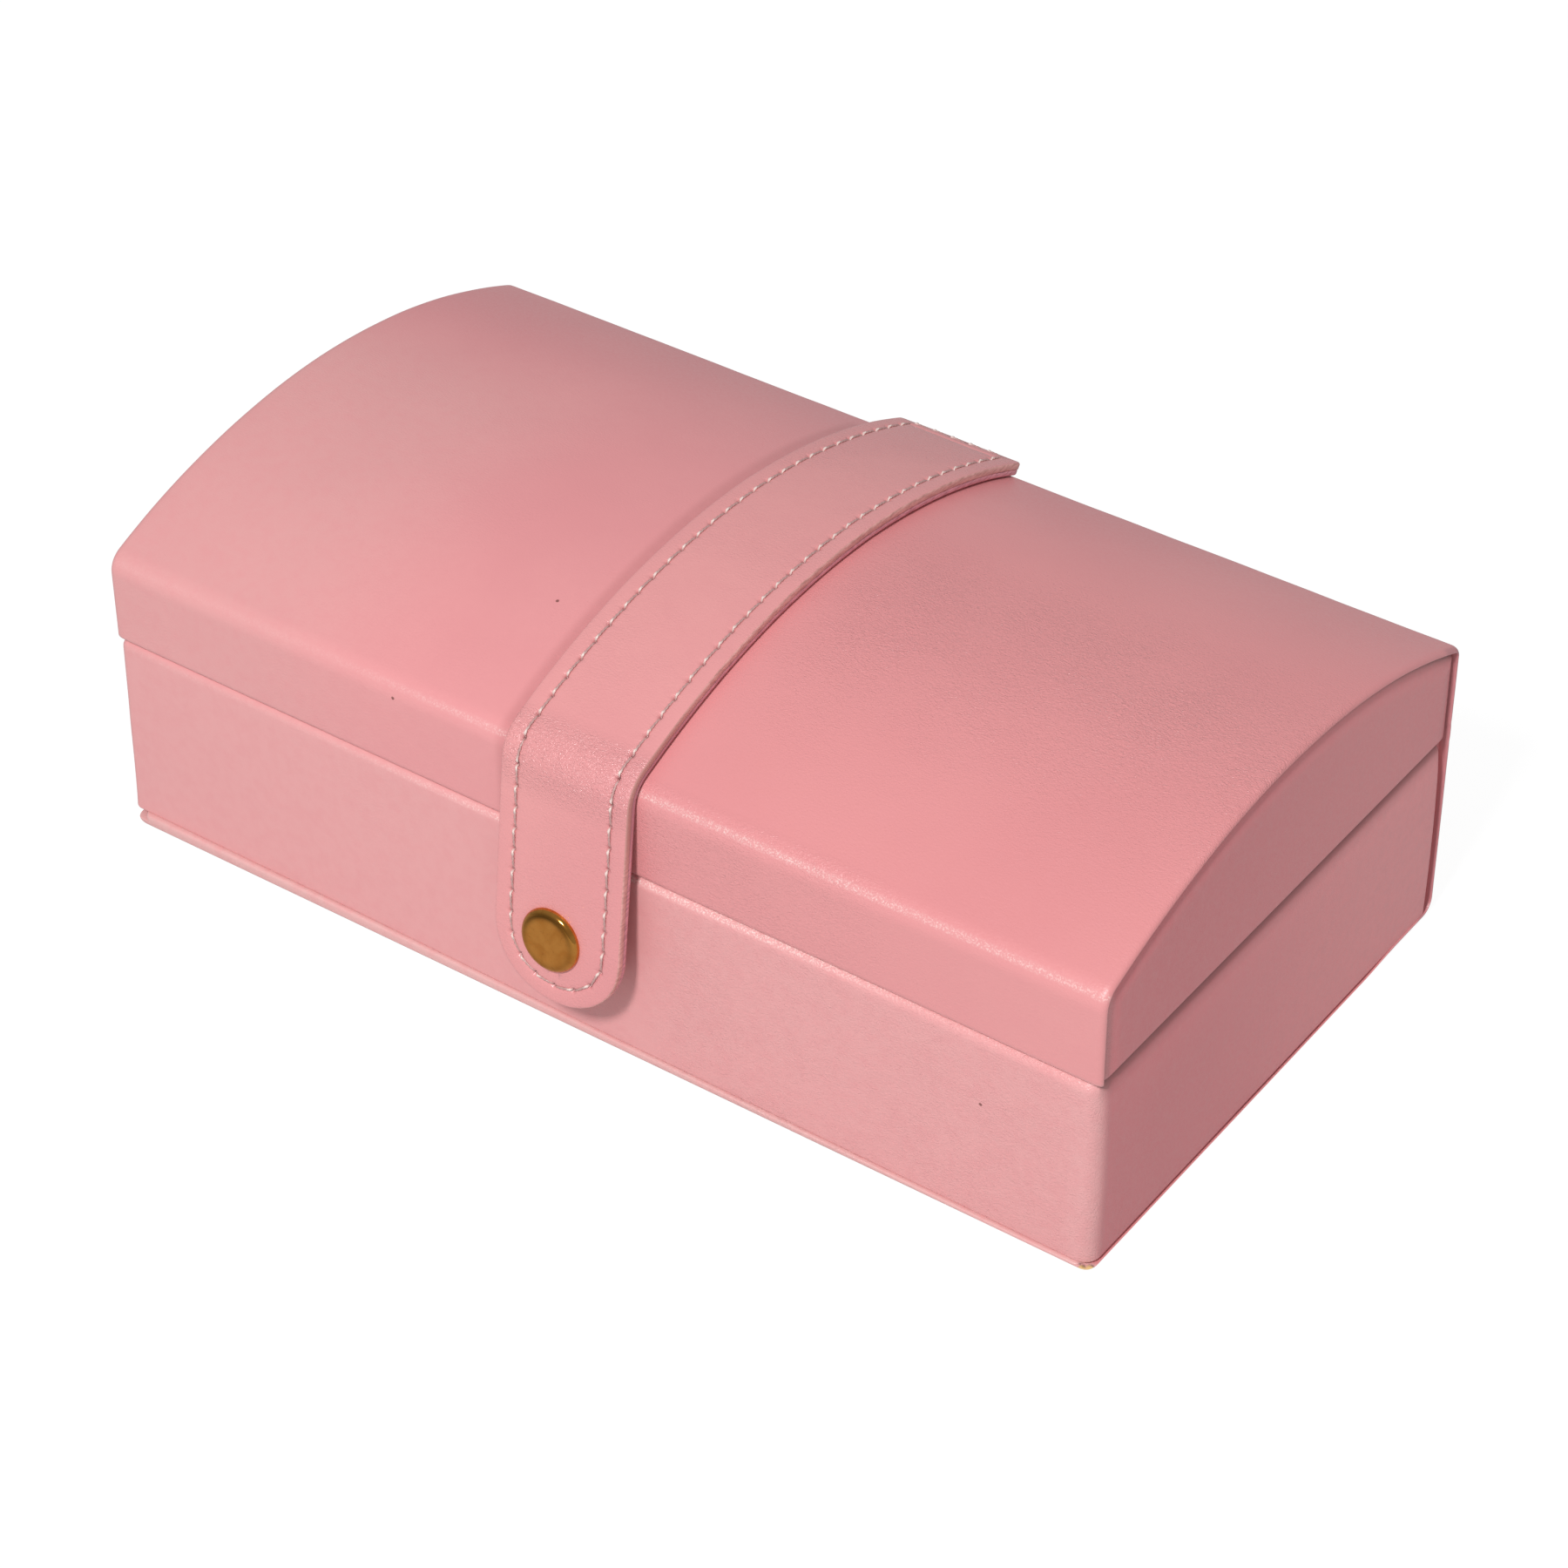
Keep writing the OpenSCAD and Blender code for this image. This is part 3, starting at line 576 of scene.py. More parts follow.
def lid_outline(offset):
    """The lid's outline this far inside its outer face, from back to front."""
    back_r = max(BACK_EDGE_R - offset, 0.1)
    front_r = max(FRONT_EDGE_R - offset, 0.1)
    back_c, back_a = lid_bend(offset, back_r, 1)
    front_c, front_a = lid_bend(offset, front_r, -1)
    return joined(
        arc(back_c, back_r, 0, back_a, 8),
        arc(ARCH_C, ARCH_R - offset, back_a, front_a, 80),
        arc(front_c, front_r, front_a, 180, 16))


def seam_fall(x, z, free=56.0):
    """How far the seam lies from its drawn height at x; nothing changes above z = free."""
    share = np.clip((free - z) / (free - SEAM), 0, 1)
    return SEAM_SLOPE * x * share


def lip(x):
    """The visible thickness of the bottom sheet at x: hand pressure left it thinner to the right."""
    return np.clip(1.60 - 0.0098 * x, 0.62, 2.12)


def end_inset(distance, radius):
    """How far a rounded free edge draws in at this distance from the end."""
    left = np.clip(radius - distance, 0, radius)
    return radius - np.sqrt(radius ** 2 - left ** 2)


def cover_loop(thick, inset, side_inset):
    """(x, depth) points round one cross-section of the cover, with soft edges."""
    outer_r, inner_r, wide = min(0.85, thick * 0.5), min(0.35, thick * 0.3), 1.5
    half = HALF_L - side_inset
    turn = np.radians(np.linspace(0, 90, 6))
    xs = np.linspace(-(half - wide), half - wide, 81)
    outer = [(x, 0.0) for x in xs]
    right = [(half - wide + wide * math.sin(a), outer_r - outer_r * math.cos(a)) for a in turn[1:]]
    rebate = half - 1.7
    right += [(half - 0.06, outer_r + 0.1), (half - 0.3, outer_r + 0.16), (rebate, outer_r + 0.18)]
    right += [(rebate, thick - inner_r), (rebate - inner_r, thick)]
    inner = [(x, thick) for x in np.linspace(rebate - inner_r, inner_r - rebate, 21)][1:-1]
    left = [(-x, d) for x, d in reversed(right)]
    loop = np.array(outer + right + inner + left)
    loop[:, 1] = inset + loop[:, 1] * (thick - 2 * inset) / thick
    return loop


def case_cover():
    """One leather-covered sheet of boards: bottom, back, arched lid and its front."""
    back_bend, back_a = lid_bend(0, BACK_EDGE_R, 1)
    front_bend, front_a = lid_bend(0, FRONT_EDGE_R, -1)
    low, high = SEAM - CREASE_W, SEAM + CREASE_W
    # The path runs from the bottom's front edge back, up the spine and over the arch to the lid's lip.
    path = joined(
        straight((-HALF_W, 0), (HALF_W - SPINE_R, 0), (0, -1), 40),
        arc((HALF_W - SPINE_R, SPINE_R), SPINE_R, -90, 0, 10),
        straight((HALF_W, SPINE_R), (HALF_W, low), (1, 0), 10),
        straight((HALF_W, low), (HALF_W, high), (1, 0), 24),
        straight((HALF_W, high), (HALF_W, back_bend[1]), (1, 0), 6),
        arc(back_bend, BACK_EDGE_R, 0, back_a, 10),
        arc(ARCH_C, ARCH_R, back_a, front_a, 200),
        arc(front_bend, FRONT_EDGE_R, front_a, 180, 20),
        straight((-HALF_W, front_bend[1]), (-HALF_W, LID_BOTTOM), (-1, 0), 20))
    # Cross-sections lie close at the free edges, the bends and the crease, and further apart between.
    length = spaced_at(path, [0])[2]
    spine_at = 2 * HALF_W - SPINE_R
    crease_at = spine_at + SPINE_R * math.pi / 2 + (SEAM - SPINE_R)
    lid_front = length - (front_bend[1] - LID_BOTTOM) - FRONT_EDGE_R * math.radians(180 - front_a)
    edge = np.array([0, 0.06, 0.16, 0.32, 0.52, 0.8, 1.15, 1.6, 2.2])
    at = np.unique(np.round(np.concatenate([
        edge,
        np.arange(4.0, crease_at - 6, 2.6),
        spine_at + np.linspace(-0.5, SPINE_R * math.pi / 2 + 0.5, 12),
        np.linspace(crease_at - 5, crease_at + 5, 31),
        crease_at + back_bend[1] - SEAM + np.linspace(-0.5, 3.5, 12),
        np.arange(crease_at + 6, lid_front - 2, 1.9),
        np.arange(lid_front - 1, length - 3, 0.7),
        length - edge]), 3))
    points, normals, _ = spaced_at(path, at)
    loops = []
    for (y, z), (ny, nz), s in zip(points, normals, at):
        near = min(s, length - s)
        at_front = s < length / 2
        inset = end_inset(near, 0.5 if at_front else 0.9)
        past_crease = abs(s - crease_at) - CREASE_W / 2
        full = np.clip(past_crease / 1.2, 0, 1)
        thick = CREASE_T + (COVER_T - CREASE_T) * full ** 2 * (3 - 2 * full)
        dent = CREASE_DENT * math.exp(-((past_crease - 0.2) / 0.55) ** 2)
        loop = cover_loop(thick, inset, end_inset(near, 1.7 if at_front else 0.6))
        x = loop[:, 0]
        depth = loop[:, 1] + dent * (1 - loop[:, 1] / thick)
        under = np.clip((2 * HALF_W - 14 - s) / 8, 0, 1)
        depth = depth * (1 + under * (lip(x) / COVER_T - 1))
        ring = np.stack([x, y - ny * depth, z - nz * depth], 1)
        if at_front:
            ring[:, 1] -= 0.3 * max(0.0, 1 - near / 1.2)
        if s > lid_front:
            ring[:, 2] += seam_fall(x, ring[:, 2])
        loops.append(ring)
    loops = np.array(loops)
    flat = loops.reshape(-1, 3)
    outward = np.repeat(np.stack([np.zeros(len(at)), normals[:, 0], normals[:, 1]], 1), loops.shape[1], 0)
    fade = np.repeat(np.clip(np.minimum(at, length - at) / 4, 0, 1), loops.shape[1])
    pressed = np.where(flat[:, 2] < 1.0, 0.15, 1.0)
    uneven = 0.11 * wobble(flat, 26, 1) + 0.04 * wobble(flat, 8, 2)
    flat = flat + outward * (uneven * fade * pressed)[:, None]
    piece = swept("case_cover", flat.reshape(loops.shape), [cover_leather])
    boards = ["bottom_board", "base_back_board", "lid_front_board", "lid_arch_board", "lid_back_board"]
    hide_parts("base_cover_skin", "lid_cover_skin", *boards)
    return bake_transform(piece)


# --------------------------------------------------------------------- the tray
def plan_loop(half_x, front, back, radius, left=None):
    """Points round a rectangle with round corners, and their outward normals."""
    radii = [left or radius] * 3 + [radius]
    side_counts = (36, 72, 36, 72)
    corners = [np.array([sx * (half_x - r), edge - sy * r]) for sx, sy, edge, r in
               zip((1, -1, -1, 1), (1, 1, -1, -1), (back, back, front, front), radii)]
    points, normals = [], []
    for k in range(4):
        p, n = arc(corners[k], radii[k], 90 * k, 90 * k + 90, 12)
        q = corners[(k + 1) % 4] + radii[(k + 1) % 4] * n[-1]
        count = side_counts[(k + 1) % 4]
        t = np.linspace(0, 1, count + 1)[1:-1, None]
        points += [p, p[-1] * (1 - t) + q * t]
        normals += [n, np.tile(n[-1], (count - 1, 1))]
    return np.concatenate(points), np.concatenate(normals)


def tray():
    """The leather-wrapped wall round the tray, with its rolled rim."""
    front, back = tray_low[1], tray_high[1]
    inner_r = 0.8
    turn = np.radians(np.linspace(0, 90, 9))
    foot_r = 0.55
    rows = [(foot_r * (1 - math.sin(a)), COVER_T + foot_r * (1 - math.cos(a))) for a in turn]
    rows += [(0.0, z) for z in np.linspace(COVER_T + foot_r, BASE_TOP - RIM_R, 20)[1:]]
    rows += [(RIM_R * (1 - math.cos(a)), BASE_TOP - RIM_R * (1 - math.sin(a))) for a in turn[1:]]
    rows += [(WALL_T - inner_r * (1 - math.sin(a)), BASE_TOP - inner_r * (1 - math.cos(a))) for a in turn]
    rows += [(WALL_T, z) for z in np.linspace(BASE_TOP - inner_r, COVER_T, 10)[1:]]
    loops, marks = [], []
    for depth, z in rows:
        low_share = np.clip((SEAM - z) / (SEAM - COVER_T), 0, 1)
        p, n = plan_loop(HALF_L - depth, front + depth, back - depth,
                         max(TRAY_FRONT_RIGHT_R - depth, 0.25),
                         max(TRAY_CORNER_R - 0.5 * low_share - depth, 0.25))
        outer = math.exp(-depth)
        below = BASE_TOP - z
        x, y = p[:, 0].copy(), p[:, 1].copy()
        left = np.clip(-x / HALF_L, 0, 1) ** 8
        right = np.clip(x / HALF_L, 0, 1) ** 8
        ahead = np.clip(-y / HALF_W, 0, 1)
        bulge = 0.25 * math.sin(math.pi * low_share) - 0.2 - 0.3 * math.exp(-(below / 4) ** 2)
        x += outer * (right * bulge - left * (0.25 + 0.6 * low_share ** 1.5))
        y -= outer * ahead ** 4 * 0.0062 * np.minimum(p[:, 0], 0)
        tilt = SEAM_SLOPE * p[:, 0] * np.clip(z / SEAM, 0, 1)
        foot = np.clip((12 - z) / 10, 0, 1)
        tilt = tilt * (1 - foot) + (lip(p[:, 0]) - COVER_T) * foot
        ring = np.stack([x, y, z + tilt], 1)
        uneven = 0.10 * wobble(ring, 22, 3) + 0.035 * wobble(ring, 7, 4)
        fade = outer * np.clip((z - COVER_T) / 2, 0, 1)
        ring[:, :2] += n * (uneven * fade)[:, None]
        loops.append(ring)
        shaded = np.clip((p[:, 0] - HALF_L + 3.4) / 1.6, 0, 1) * (p[:, 1] > -HALF_W + 1.5)
        marks += list(0.42 * shaded * math.exp(-(below / 2.0) ** 2))
    piece = ringed("tray_wall", loops, [case_leather], marks=marks)
    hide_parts("tray_wall_boards", "tray_wall_skin")
    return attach(piece, "base")


# ---------------------------------------------------------------- lid's end panels
def end_outline(offset, bottom, corner):
    """An end panel's outline: the lid's, closed along the bottom with round corners."""
    back = arc((HALF_W - offset - corner, bottom + corner), corner, -90, 0, 5)
    front = arc((offset + corner - HALF_W, bottom + corner), corner, 180, 270, 5)
    return joined(back, straight(back[0][-1], lid_outline(offset)[0][0], (1, 0), 6), lid_outline(offset),
                  straight(lid_outline(offset)[0][-1], front[0][0], (-1, 0), 10), front)[0]


def end_panel(side, nodes):
    """A leather-wrapped end board whose edges are broadly rounded, but not along the seam."""
    face = panel_high[0] + PANEL_PROUD
    inner = panel_low[0]
    deep, wide, below = 0.85, 4.0, 1.3
    rows = [(inner, 0.0), (face - deep - 0.5, 0.0)]
    rows += [(face - deep * (1 - t) ** 2, t) for t in np.linspace(0, 1, 14)]
    rows += [(face + 0.01, 1.4)]
    loops, marks = [], []
    for x, share in rows:
        draw = wide * share
        outline = end_outline(PANEL_OFFSET + draw, LID_BOTTOM + below * share, max(1.2 - draw, 0.3))
        y, z = outline[:, 0], outline[:, 1]
        loops.append(np.stack([np.full(len(y), side * x), y, z + seam_fall(side * x, z, PANEL_FREE)], 1))
        # Painted shade along the panel's sunken border, in the groove.
        marks += [0.75 * math.exp(-(share / 0.13) ** 2)] * len(y)
    loops = np.array(loops)
    flat = loops.reshape(-1, 3)
    flat[:, 0] += side * 0.05 * wobble(flat, 18, 5)
    name = "lid_end_panel_" + ("right" if side > 0 else "left")
    piece = swept(name, flat.reshape(loops.shape), [case_leather], marks=marks)
    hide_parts(*nodes)
    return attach(piece, "lid")


def rail(name, low, high, node):
    """A leather-wrapped rail along the lid, with soft lower edges."""
    soft = 0.5
    turn = np.radians(np.linspace(0, 90, 5))
    profile = [(low[1] + soft * (1 - math.sin(a)), low[2] + soft * (1 - math.cos(a))) for a in turn[::-1]]
    profile += [(high[1] - soft * (1 - math.sin(a)), low[2] + soft * (1 - math.cos(a))) for a in turn]
    profile += [(high[1], high[2]), (low[1], high[2])]
    loops = []
    for x in np.linspace(low[0], high[0], 41):
        loops.append([(x, y, z + float(seam_fall(x, z, high[2]))) for y, z in profile])
    piece = swept(name, loops, [case_leather])
    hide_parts(node)
    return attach(piece, "lid")


# --------------------------------------------------------------------- the strap
def strap_frame():
    """What the strap follows: the arch, the front bend and the leaning flap."""
    bend_c, join_a = lid_bend(0, FRONT_EDGE_R, -1)
    wrap_c, wrap_a = lid_bend(0, BACK_EDGE_R, 1)
    crown_low, _ = mm_box("press_stud")
    socket_proud = 1.5
    press_gap = 0.3
    arm = bend_c - np.array([crown_low[1], SNAP_H])
    reach = FRONT_EDGE_R + STRAP_GAP - socket_proud - press_gap
    lean = math.acos(reach / np.linalg.norm(arm)) - math.atan2(arm[1], arm[0])
    out = ARCH_R + STRAP_GAP + BACK_T + FACE_T
    end_a = math.acos((HALF_W - ROOT_INSET) / out)
    down = -np.array([math.sin(lean), math.cos(lean)])
    flap_top = bend_c + (FRONT_EDGE_R + STRAP_GAP) * np.array([-math.cos(lean), math.sin(lean)])
    drop = float(np.dot(flap_top - np.array([crown_low[1], SNAP_H]), -down))
    return {"bend_c": bend_c, "lean": lean, "end_a": end_a, "join_a": math.radians(join_a), "down": down,
            "drop": drop, "wrap_c": wrap_c, "wrap_a": math.radians(wrap_a)}


STRAP = strap_frame()
# Places along the strap are measured where its two layers meet, this high above the cover.
REFERENCE = STRAP_GAP + BACK_T
WRAP_AT = (STRAP["wrap_a"] - STRAP["end_a"]) * (ARCH_R + REFERENCE)
ARCH_LENGTH = (STRAP["join_a"] - STRAP["end_a"]) * (ARCH_R + REFERENCE)
BEND_LENGTH = (math.pi - STRAP["lean"] - STRAP["join_a"]) * (FRONT_EDGE_R + REFERENCE)
SNAP_AT = ARCH_LENGTH + BEND_LENGTH + STRAP["drop"]
STRAP_LENGTH = SNAP_AT + TIP_PAST_SNAP
TIP_FROM = STRAP_LENGTH - STRAP_W / 2
STRAP_TOP = REFERENCE + FACE_T
# Where the strap's rear and front parts meet, between the two joints.
SPLIT_AT = ARCH_LENGTH * 0.6
# How square the flap's tip is (2 is a half circle), and where the sewn rear end lies.
TIP_POWER = 2.1
REAR_CORNER = 1.2
REAR_END = -1.8
REAR_ROW = -0.3


def on_strap(u, v, o):
    """The place of a strap point: u across, v along from the arch's rear, o out from the lid's face."""
    if v < WRAP_AT:
        angle = STRAP["wrap_a"] + (v - WRAP_AT) / (BACK_EDGE_R + REFERENCE)
        centre, radius = STRAP["wrap_c"], BACK_EDGE_R
    elif v < ARCH_LENGTH:
        angle = STRAP["end_a"] + v / (ARCH_R + REFERENCE)
        centre, radius = ARCH_C, ARCH_R
    else:
        turned = min(v - ARCH_LENGTH, BEND_LENGTH)
        angle = STRAP["join_a"] + turned / (FRONT_EDGE_R + REFERENCE)
        centre = STRAP["bend_c"] + STRAP["down"] * max(v - ARCH_LENGTH - BEND_LENGTH, 0)
        radius = FRONT_EDGE_R
    y, z = centre + (radius + o) * np.array([math.cos(angle), math.sin(angle)])
    return np.array([u + np.interp(v, *STRAP_SWAY), y, z])


def oblique(outline):
    """The rear end's cut isn't quite square."""
    share = np.clip((6 - outline[:, 1]) / 6, 0, 1)
    outline[:, 1] += 0.03 * outline[:, 0] * share
    return outline


def round_the_flap(half, vs, turn_count):
    """(u, v) down the strap's left at these v, round its tip and up its right."""
    power = 2 / TIP_POWER
    tip = []
    for a in np.radians(np.linspace(0, 180, turn_count)):
        across = math.copysign(abs(math.cos(a)) ** power, math.cos(a))
        tip.append((-half * across, TIP_FROM + half * math.sin(a) ** power))
    return np.array([(-half, v) for v in vs] + tip + [(half, v) for v in vs[::-1]])


def front_outline(inset, spacing):
    """(u, v) round the strap's front part, and how many pairs of points face each other across it."""
    steps = int(round((TIP_FROM - SPLIT_AT) / spacing))
    half_turns = int(round(math.pi * STRAP_W / 2 / spacing / 2))
    vs = np.linspace(SPLIT_AT, TIP_FROM, steps + 1)[:-1]
    return round_the_flap(STRAP_W / 2 - inset, vs, 2 * half_turns + 1), steps + half_turns + 1


def rear_outline(inset, columns, spacing):
    """(u, v) round the strap's rear part and its square end, and how many pairs face each other."""
    half = STRAP_W / 2 - inset
    radius = max(REAR_CORNER - inset, 0.0)
    steps = int(round(SPLIT_AT / spacing))
    left = [(-half, v) for v in np.linspace(SPLIT_AT, REAR_END + inset + radius, steps + 1)]
    turn = np.radians(np.linspace(0, 90, 6))[1:]
    end = REAR_END + inset
    corner = [(-half + radius * (1 - math.cos(a)), end + radius * (1 - math.sin(a))) for a in turn]
    across = [(u, end) for u in np.linspace(-(half - radius), half - radius, columns)][1:-1]
    right = [(-u, v) for u, v in reversed(left + corner)]
    return oblique(np.array(left + corner + across + right)), steps + 1


def holes_along(line):
    """Needle holes at an even pitch along a line of (u, v) points."""
    along = distances_along(line)
    at = np.linspace(0, along[-1], int(round(along[-1] / STITCH_PITCH)) + 1)
    return interpolated(at, along, line)


SEWN_HALF = STRAP_W / 2 - STITCH_INSET
ROUND_HOLES = holes_along(round_the_flap(SEWN_HALF, np.arange(REAR_ROW, TIP_FROM, 0.25), 160))
REAR_HOLES = holes_along(np.array([(-SEWN_HALF, REAR_ROW), (SEWN_HALF, REAR_ROW)]))
ALL_HOLES = np.concatenate([ROUND_HOLES, REAR_HOLES])


def dimple(u, v):
    """How deep the leather is pressed here, and how much painted shade darkens it as a needle hole."""
    away = np.min((ALL_HOLES[:, 0] - u) ** 2 + (ALL_HOLES[:, 1] - v) ** 2)
    return 0.65 * math.exp(-away / 0.14), 0.9 * math.exp(-(away / 0.085) ** 2)


def face_section():
    """(inset, height, painted) from the underside round the cut edge to the stitched face."""
    low = STRAP_GAP + BACK_T
    top = low + FACE_T
    return [(6.0, low, 0), (2.0, low, 0), (0.12, low, 1), (0.03, low + 0.06, 1), (0.0, low + 0.16, 1),
            (0.0, top - 0.42, 1), (0.05, top - 0.24, 1), (0.16, top - 0.10, 1), (0.36, top - 0.02, 0),
            (0.8, top + 0.01, 0), (1.4, top + 0.03, 0), (2.1, top + 0.02, 0), (2.6, top - 0.02, 0),
            (2.9, top - 0.07, 0), (3.1, top - 0.18, 0), (3.3, top - 0.24, 0), (3.5, top - 0.18, 0),
            (3.7, top - 0.07, 0), (4.0, top - 0.01, 0), (4.7, top + 0.04, 0), (6.0, top + 0.07, 0)]


def back_section():
    """(inset, height, painted) round the back leather, from its middle to the joint with the face."""
    low = STRAP_GAP
    top = low + BACK_T
    return [(6.0, low, 0), (2.0, low, 0), (0.7, low + 0.02, 0), (0.35, low + 0.1, 1),
            (0.15, low + 0.28, 1), (0.08, low + 0.5, 1), (0.06, top - 0.2, 1), (0.1, top - 0.08, 1),
            (0.2, top - 0.02, 1), (2.0, top - 0.02, 0), (6.0, top - 0.02, 0)]


# Points across the strap where its flat faces are meshed.
LADDER = 15


def outline_of(part, inset, spacing):
    """The outline of the strap's front or rear part."""
    return front_outline(inset, spacing) if part == "front" else rear_outline(inset, LADDER, spacing)


def strap_layer(name, part, nodes, section, materials, spacing, stitched, slot):
    """One layer of leather over part of the strap: rings round its edge and a ladder across."""
    rings = []
    for inset, height, _ in section:
        outline, rungs = outline_of(part, inset, spacing)
        rings.append([(u, v, height) for u, v in outline])
    rings = np.array(rings)
    ring_n, around = rings.shape[:2]
    points = list(rings.reshape(-1, 3))
    faces = grid_faces(ring_n, around)
    slots = []
    for (_, _, painted), (_, _, next_painted) in zip(section, section[1:]):
        slots += [1 if painted and next_painted else 0] * (around - 1)
    crown = 0.1 if stitched else 0.0
    for ring_at, sign in ((0, 0), (ring_n - 1, 1)):
        ring = rings[ring_at]
        first = len(points)
        for i in range(rungs):
            a, b = ring[i], ring[around - 1 - i]
            for k in range(LADDER):
                t = k / (LADDER - 1)
                p = a * (1 - t) + b * t
                p[2] += sign * crown * (1 - (2 * t - 1) ** 2)
                points.append(p)
        ladder = grid_faces(rungs, LADDER, first=first)
        faces += ladder
        slots += [0] * len(ladder)
    placed, marks = [], []
    for u, v, o in points:
        # The needle holes' shade is painted through the mark.
        sink, hole = dimple(u, v) if stitched and o > STRAP_TOP - 0.5 else (0.0, 0.0)
        placed.append(on_strap(u, v, o - sink))
        marks.append(hole)
    placed = np.array(placed)
    if stitched:
        placed[:, 2] += 0.05 * wobble(placed, 9, 6)
    piece = mesh_piece(name, placed, faces, materials, face_slots=slots, sharp=60, marks=marks)
    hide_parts(*nodes)
    return piece


def stitch_points(start, end, wander):
    """One stitch as a twisted two-ply tube between two needle holes, and its painted glint at the end
    that faces the lamp.
    """
    around, steps = 8, 16
    along = end - start
    length = np.linalg.norm(along)
    along = along / length
    beside = np.array([-along[1], along[0]])
    on_flap = (start[1] + end[1]) / 2 > ARCH_LENGTH + BEND_LENGTH
    downward = end[1] > start[1]
    # The painted glint goes to the end that faces the lamp: the upper end on the flap, the front end on
    # the arch.
    lit = 0.13 if on_flap == downward else 0.87
    swing = 0.26 if on_flap else -0.16
    points, glint_paint = [], []
    for i in range(steps + 1):
        t = i / steps
        shine = math.exp(-((t - lit) / 0.13) ** 2)
        rise = -0.52 + 0.46 * math.sin(math.pi * t) ** 0.4 + 0.20 * shine
        centre = start + along * length * (0.05 + 0.9 * t) + beside * (swing * (0.5 - t) + wander)
        taper = 0.8 + 0.2 * math.sin(math.pi * t) ** 0.5 + 0.15 * shine
        for k in range(around):
            a = 2 * math.pi * k / around
            ply = 1 + 0.26 * math.cos(2 * (a - 2 * math.pi * t * length / 1.8))
            r = THREAD_R * taper * ply
            across = centre + beside * r * math.cos(a)
            points.append(on_strap(across[0], across[1], STRAP_TOP + rise + r * math.sin(a) * 0.9))
            glint_paint.append(0.7 * shine)
    return points, glint_paint, around, steps + 1


def stitching(name, pairs):
    """A row of stitches as one piece."""
    points, glint_paint, faces = [], [], []
    for k, (start, end) in enumerate(pairs):
        own, own_glint_paint, around, rows = stitch_points(start, end, 0.04 * math.sin(k * 2.4))
        faces += tube_faces(rows, around, first=len(points))
        points += own
        glint_paint += own_glint_paint
    # The marks carry each stitch's painted glint.
    piece = mesh_piece(name, points, faces, [sewing_thread], sharp=70, marks=glint_paint)
    return piece


def strap():
    """The strap's two layers and its stitches, each in a rear and a front part."""
    # The strap's layers follow the arch and bend over the lid's front edge into the flap.
    face = (face_section(), [strap_leather, painted_edge], 0.27, True, "strap_leather")
    back = (back_section(), [back_leather, back_edge], 1.2, False, "strap_back_leather")
    rear = [strap_layer("strap_face_rear", "rear", ["strap_root_face"], *face),
            strap_layer("strap_back_rear", "rear", ["strap_root_back"], *back)]
    front = [strap_layer("strap_face_front", "front", ["strap_arch_face", "strap_flap_face"], *face),
             strap_layer("strap_back_front", "front", ["strap_arch_back", "strap_flap_back"], *back)]
    pairs = list(zip(ROUND_HOLES[:-1], ROUND_HOLES[1:]))
    rear.append(stitching("stitches_rear", [p for p in pairs if (p[0][1] + p[1][1]) / 2 < SPLIT_AT]
                          + list(zip(REAR_HOLES[:-1], REAR_HOLES[1:]))))
    front.append(stitching("stitches_front", [p for p in pairs if (p[0][1] + p[1][1]) / 2 >= SPLIT_AT]))
    for piece in rear:
        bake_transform(piece)
    for piece in front:
        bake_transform(piece)


def snap_cap():
    """The brass cap: a flat disc with a rolled rim, riveted through the flap."""
    base = on_strap(0, SNAP_AT, STRAP_TOP)
    base[0] = SNAP_X - 0.15
    lean = STRAP["lean"]
    forward = Vector((0, -math.cos(lean), math.sin(lean)))
    up = Vector((0, math.sin(lean), math.cos(lean)))
    right = up.cross(forward)
    place = Matrix((right, up, forward)).transposed().to_4x4()
    place.translation = Vector(base)
    roll = 1.15
    profile = [(0.01, 1.44), (1.5, 1.44), (2.6, 1.43), (3.4, 1.42), (3.8, 1.415), (4.2, 1.41),
               (4.45, 1.40)]
    profile += [(CAP_R - roll + roll * math.sin(a), 1.39 - roll * (1 - math.cos(a)))
                for a in np.radians(np.linspace(4, 90, 16))]
    profile += [(CAP_R - 0.03, 0.08), (5.6, 0.0), (5.2, -0.06), (0.01, -0.06)]

    def tarnish_and_painted_reflection(radius, turn):
        """Painted reflection: a dark band inside the rolled rim, strongest at the top."""
        ring = math.exp(-((radius - 4.75) / 0.55) ** 2)
        return 0.97 * ring * (0.3 + 0.7 * max(0.0, math.cos(turn - 1.75)) ** 1.2)

    piece = revolved("press_stud_cap", profile, place, [cap_brass], tarnish_and_painted_reflection)
    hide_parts("snap_cap")
    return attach(piece, "strap_flap")


# ------------------------------------------------------------------ soft linings
def hinge_tape():
    """The cloth tape glued along the inside of the hinge."""
    y0, y1 = tape_low[1], tape_high[1]
    zs = np.concatenate([np.linspace(tape_low[2], SEAM - 2, 8), np.linspace(SEAM - 1.7, SEAM + 1.7, 12),
                         np.linspace(SEAM + 2, tape_high[2], 6)])
    half = mm_box("hinge_tape_upper")[1][0]
    xs = np.linspace(-half, half, 41)
    loops = [[(x, y0, z) for x in xs] + [(x, y1, z) for x in xs[::-1]] for z in zs]
    piece = swept("hinge_tape", loops, [tape_cloth])
    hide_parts("hinge_tape_lower", "hinge_tape_upper")
    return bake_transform(piece)


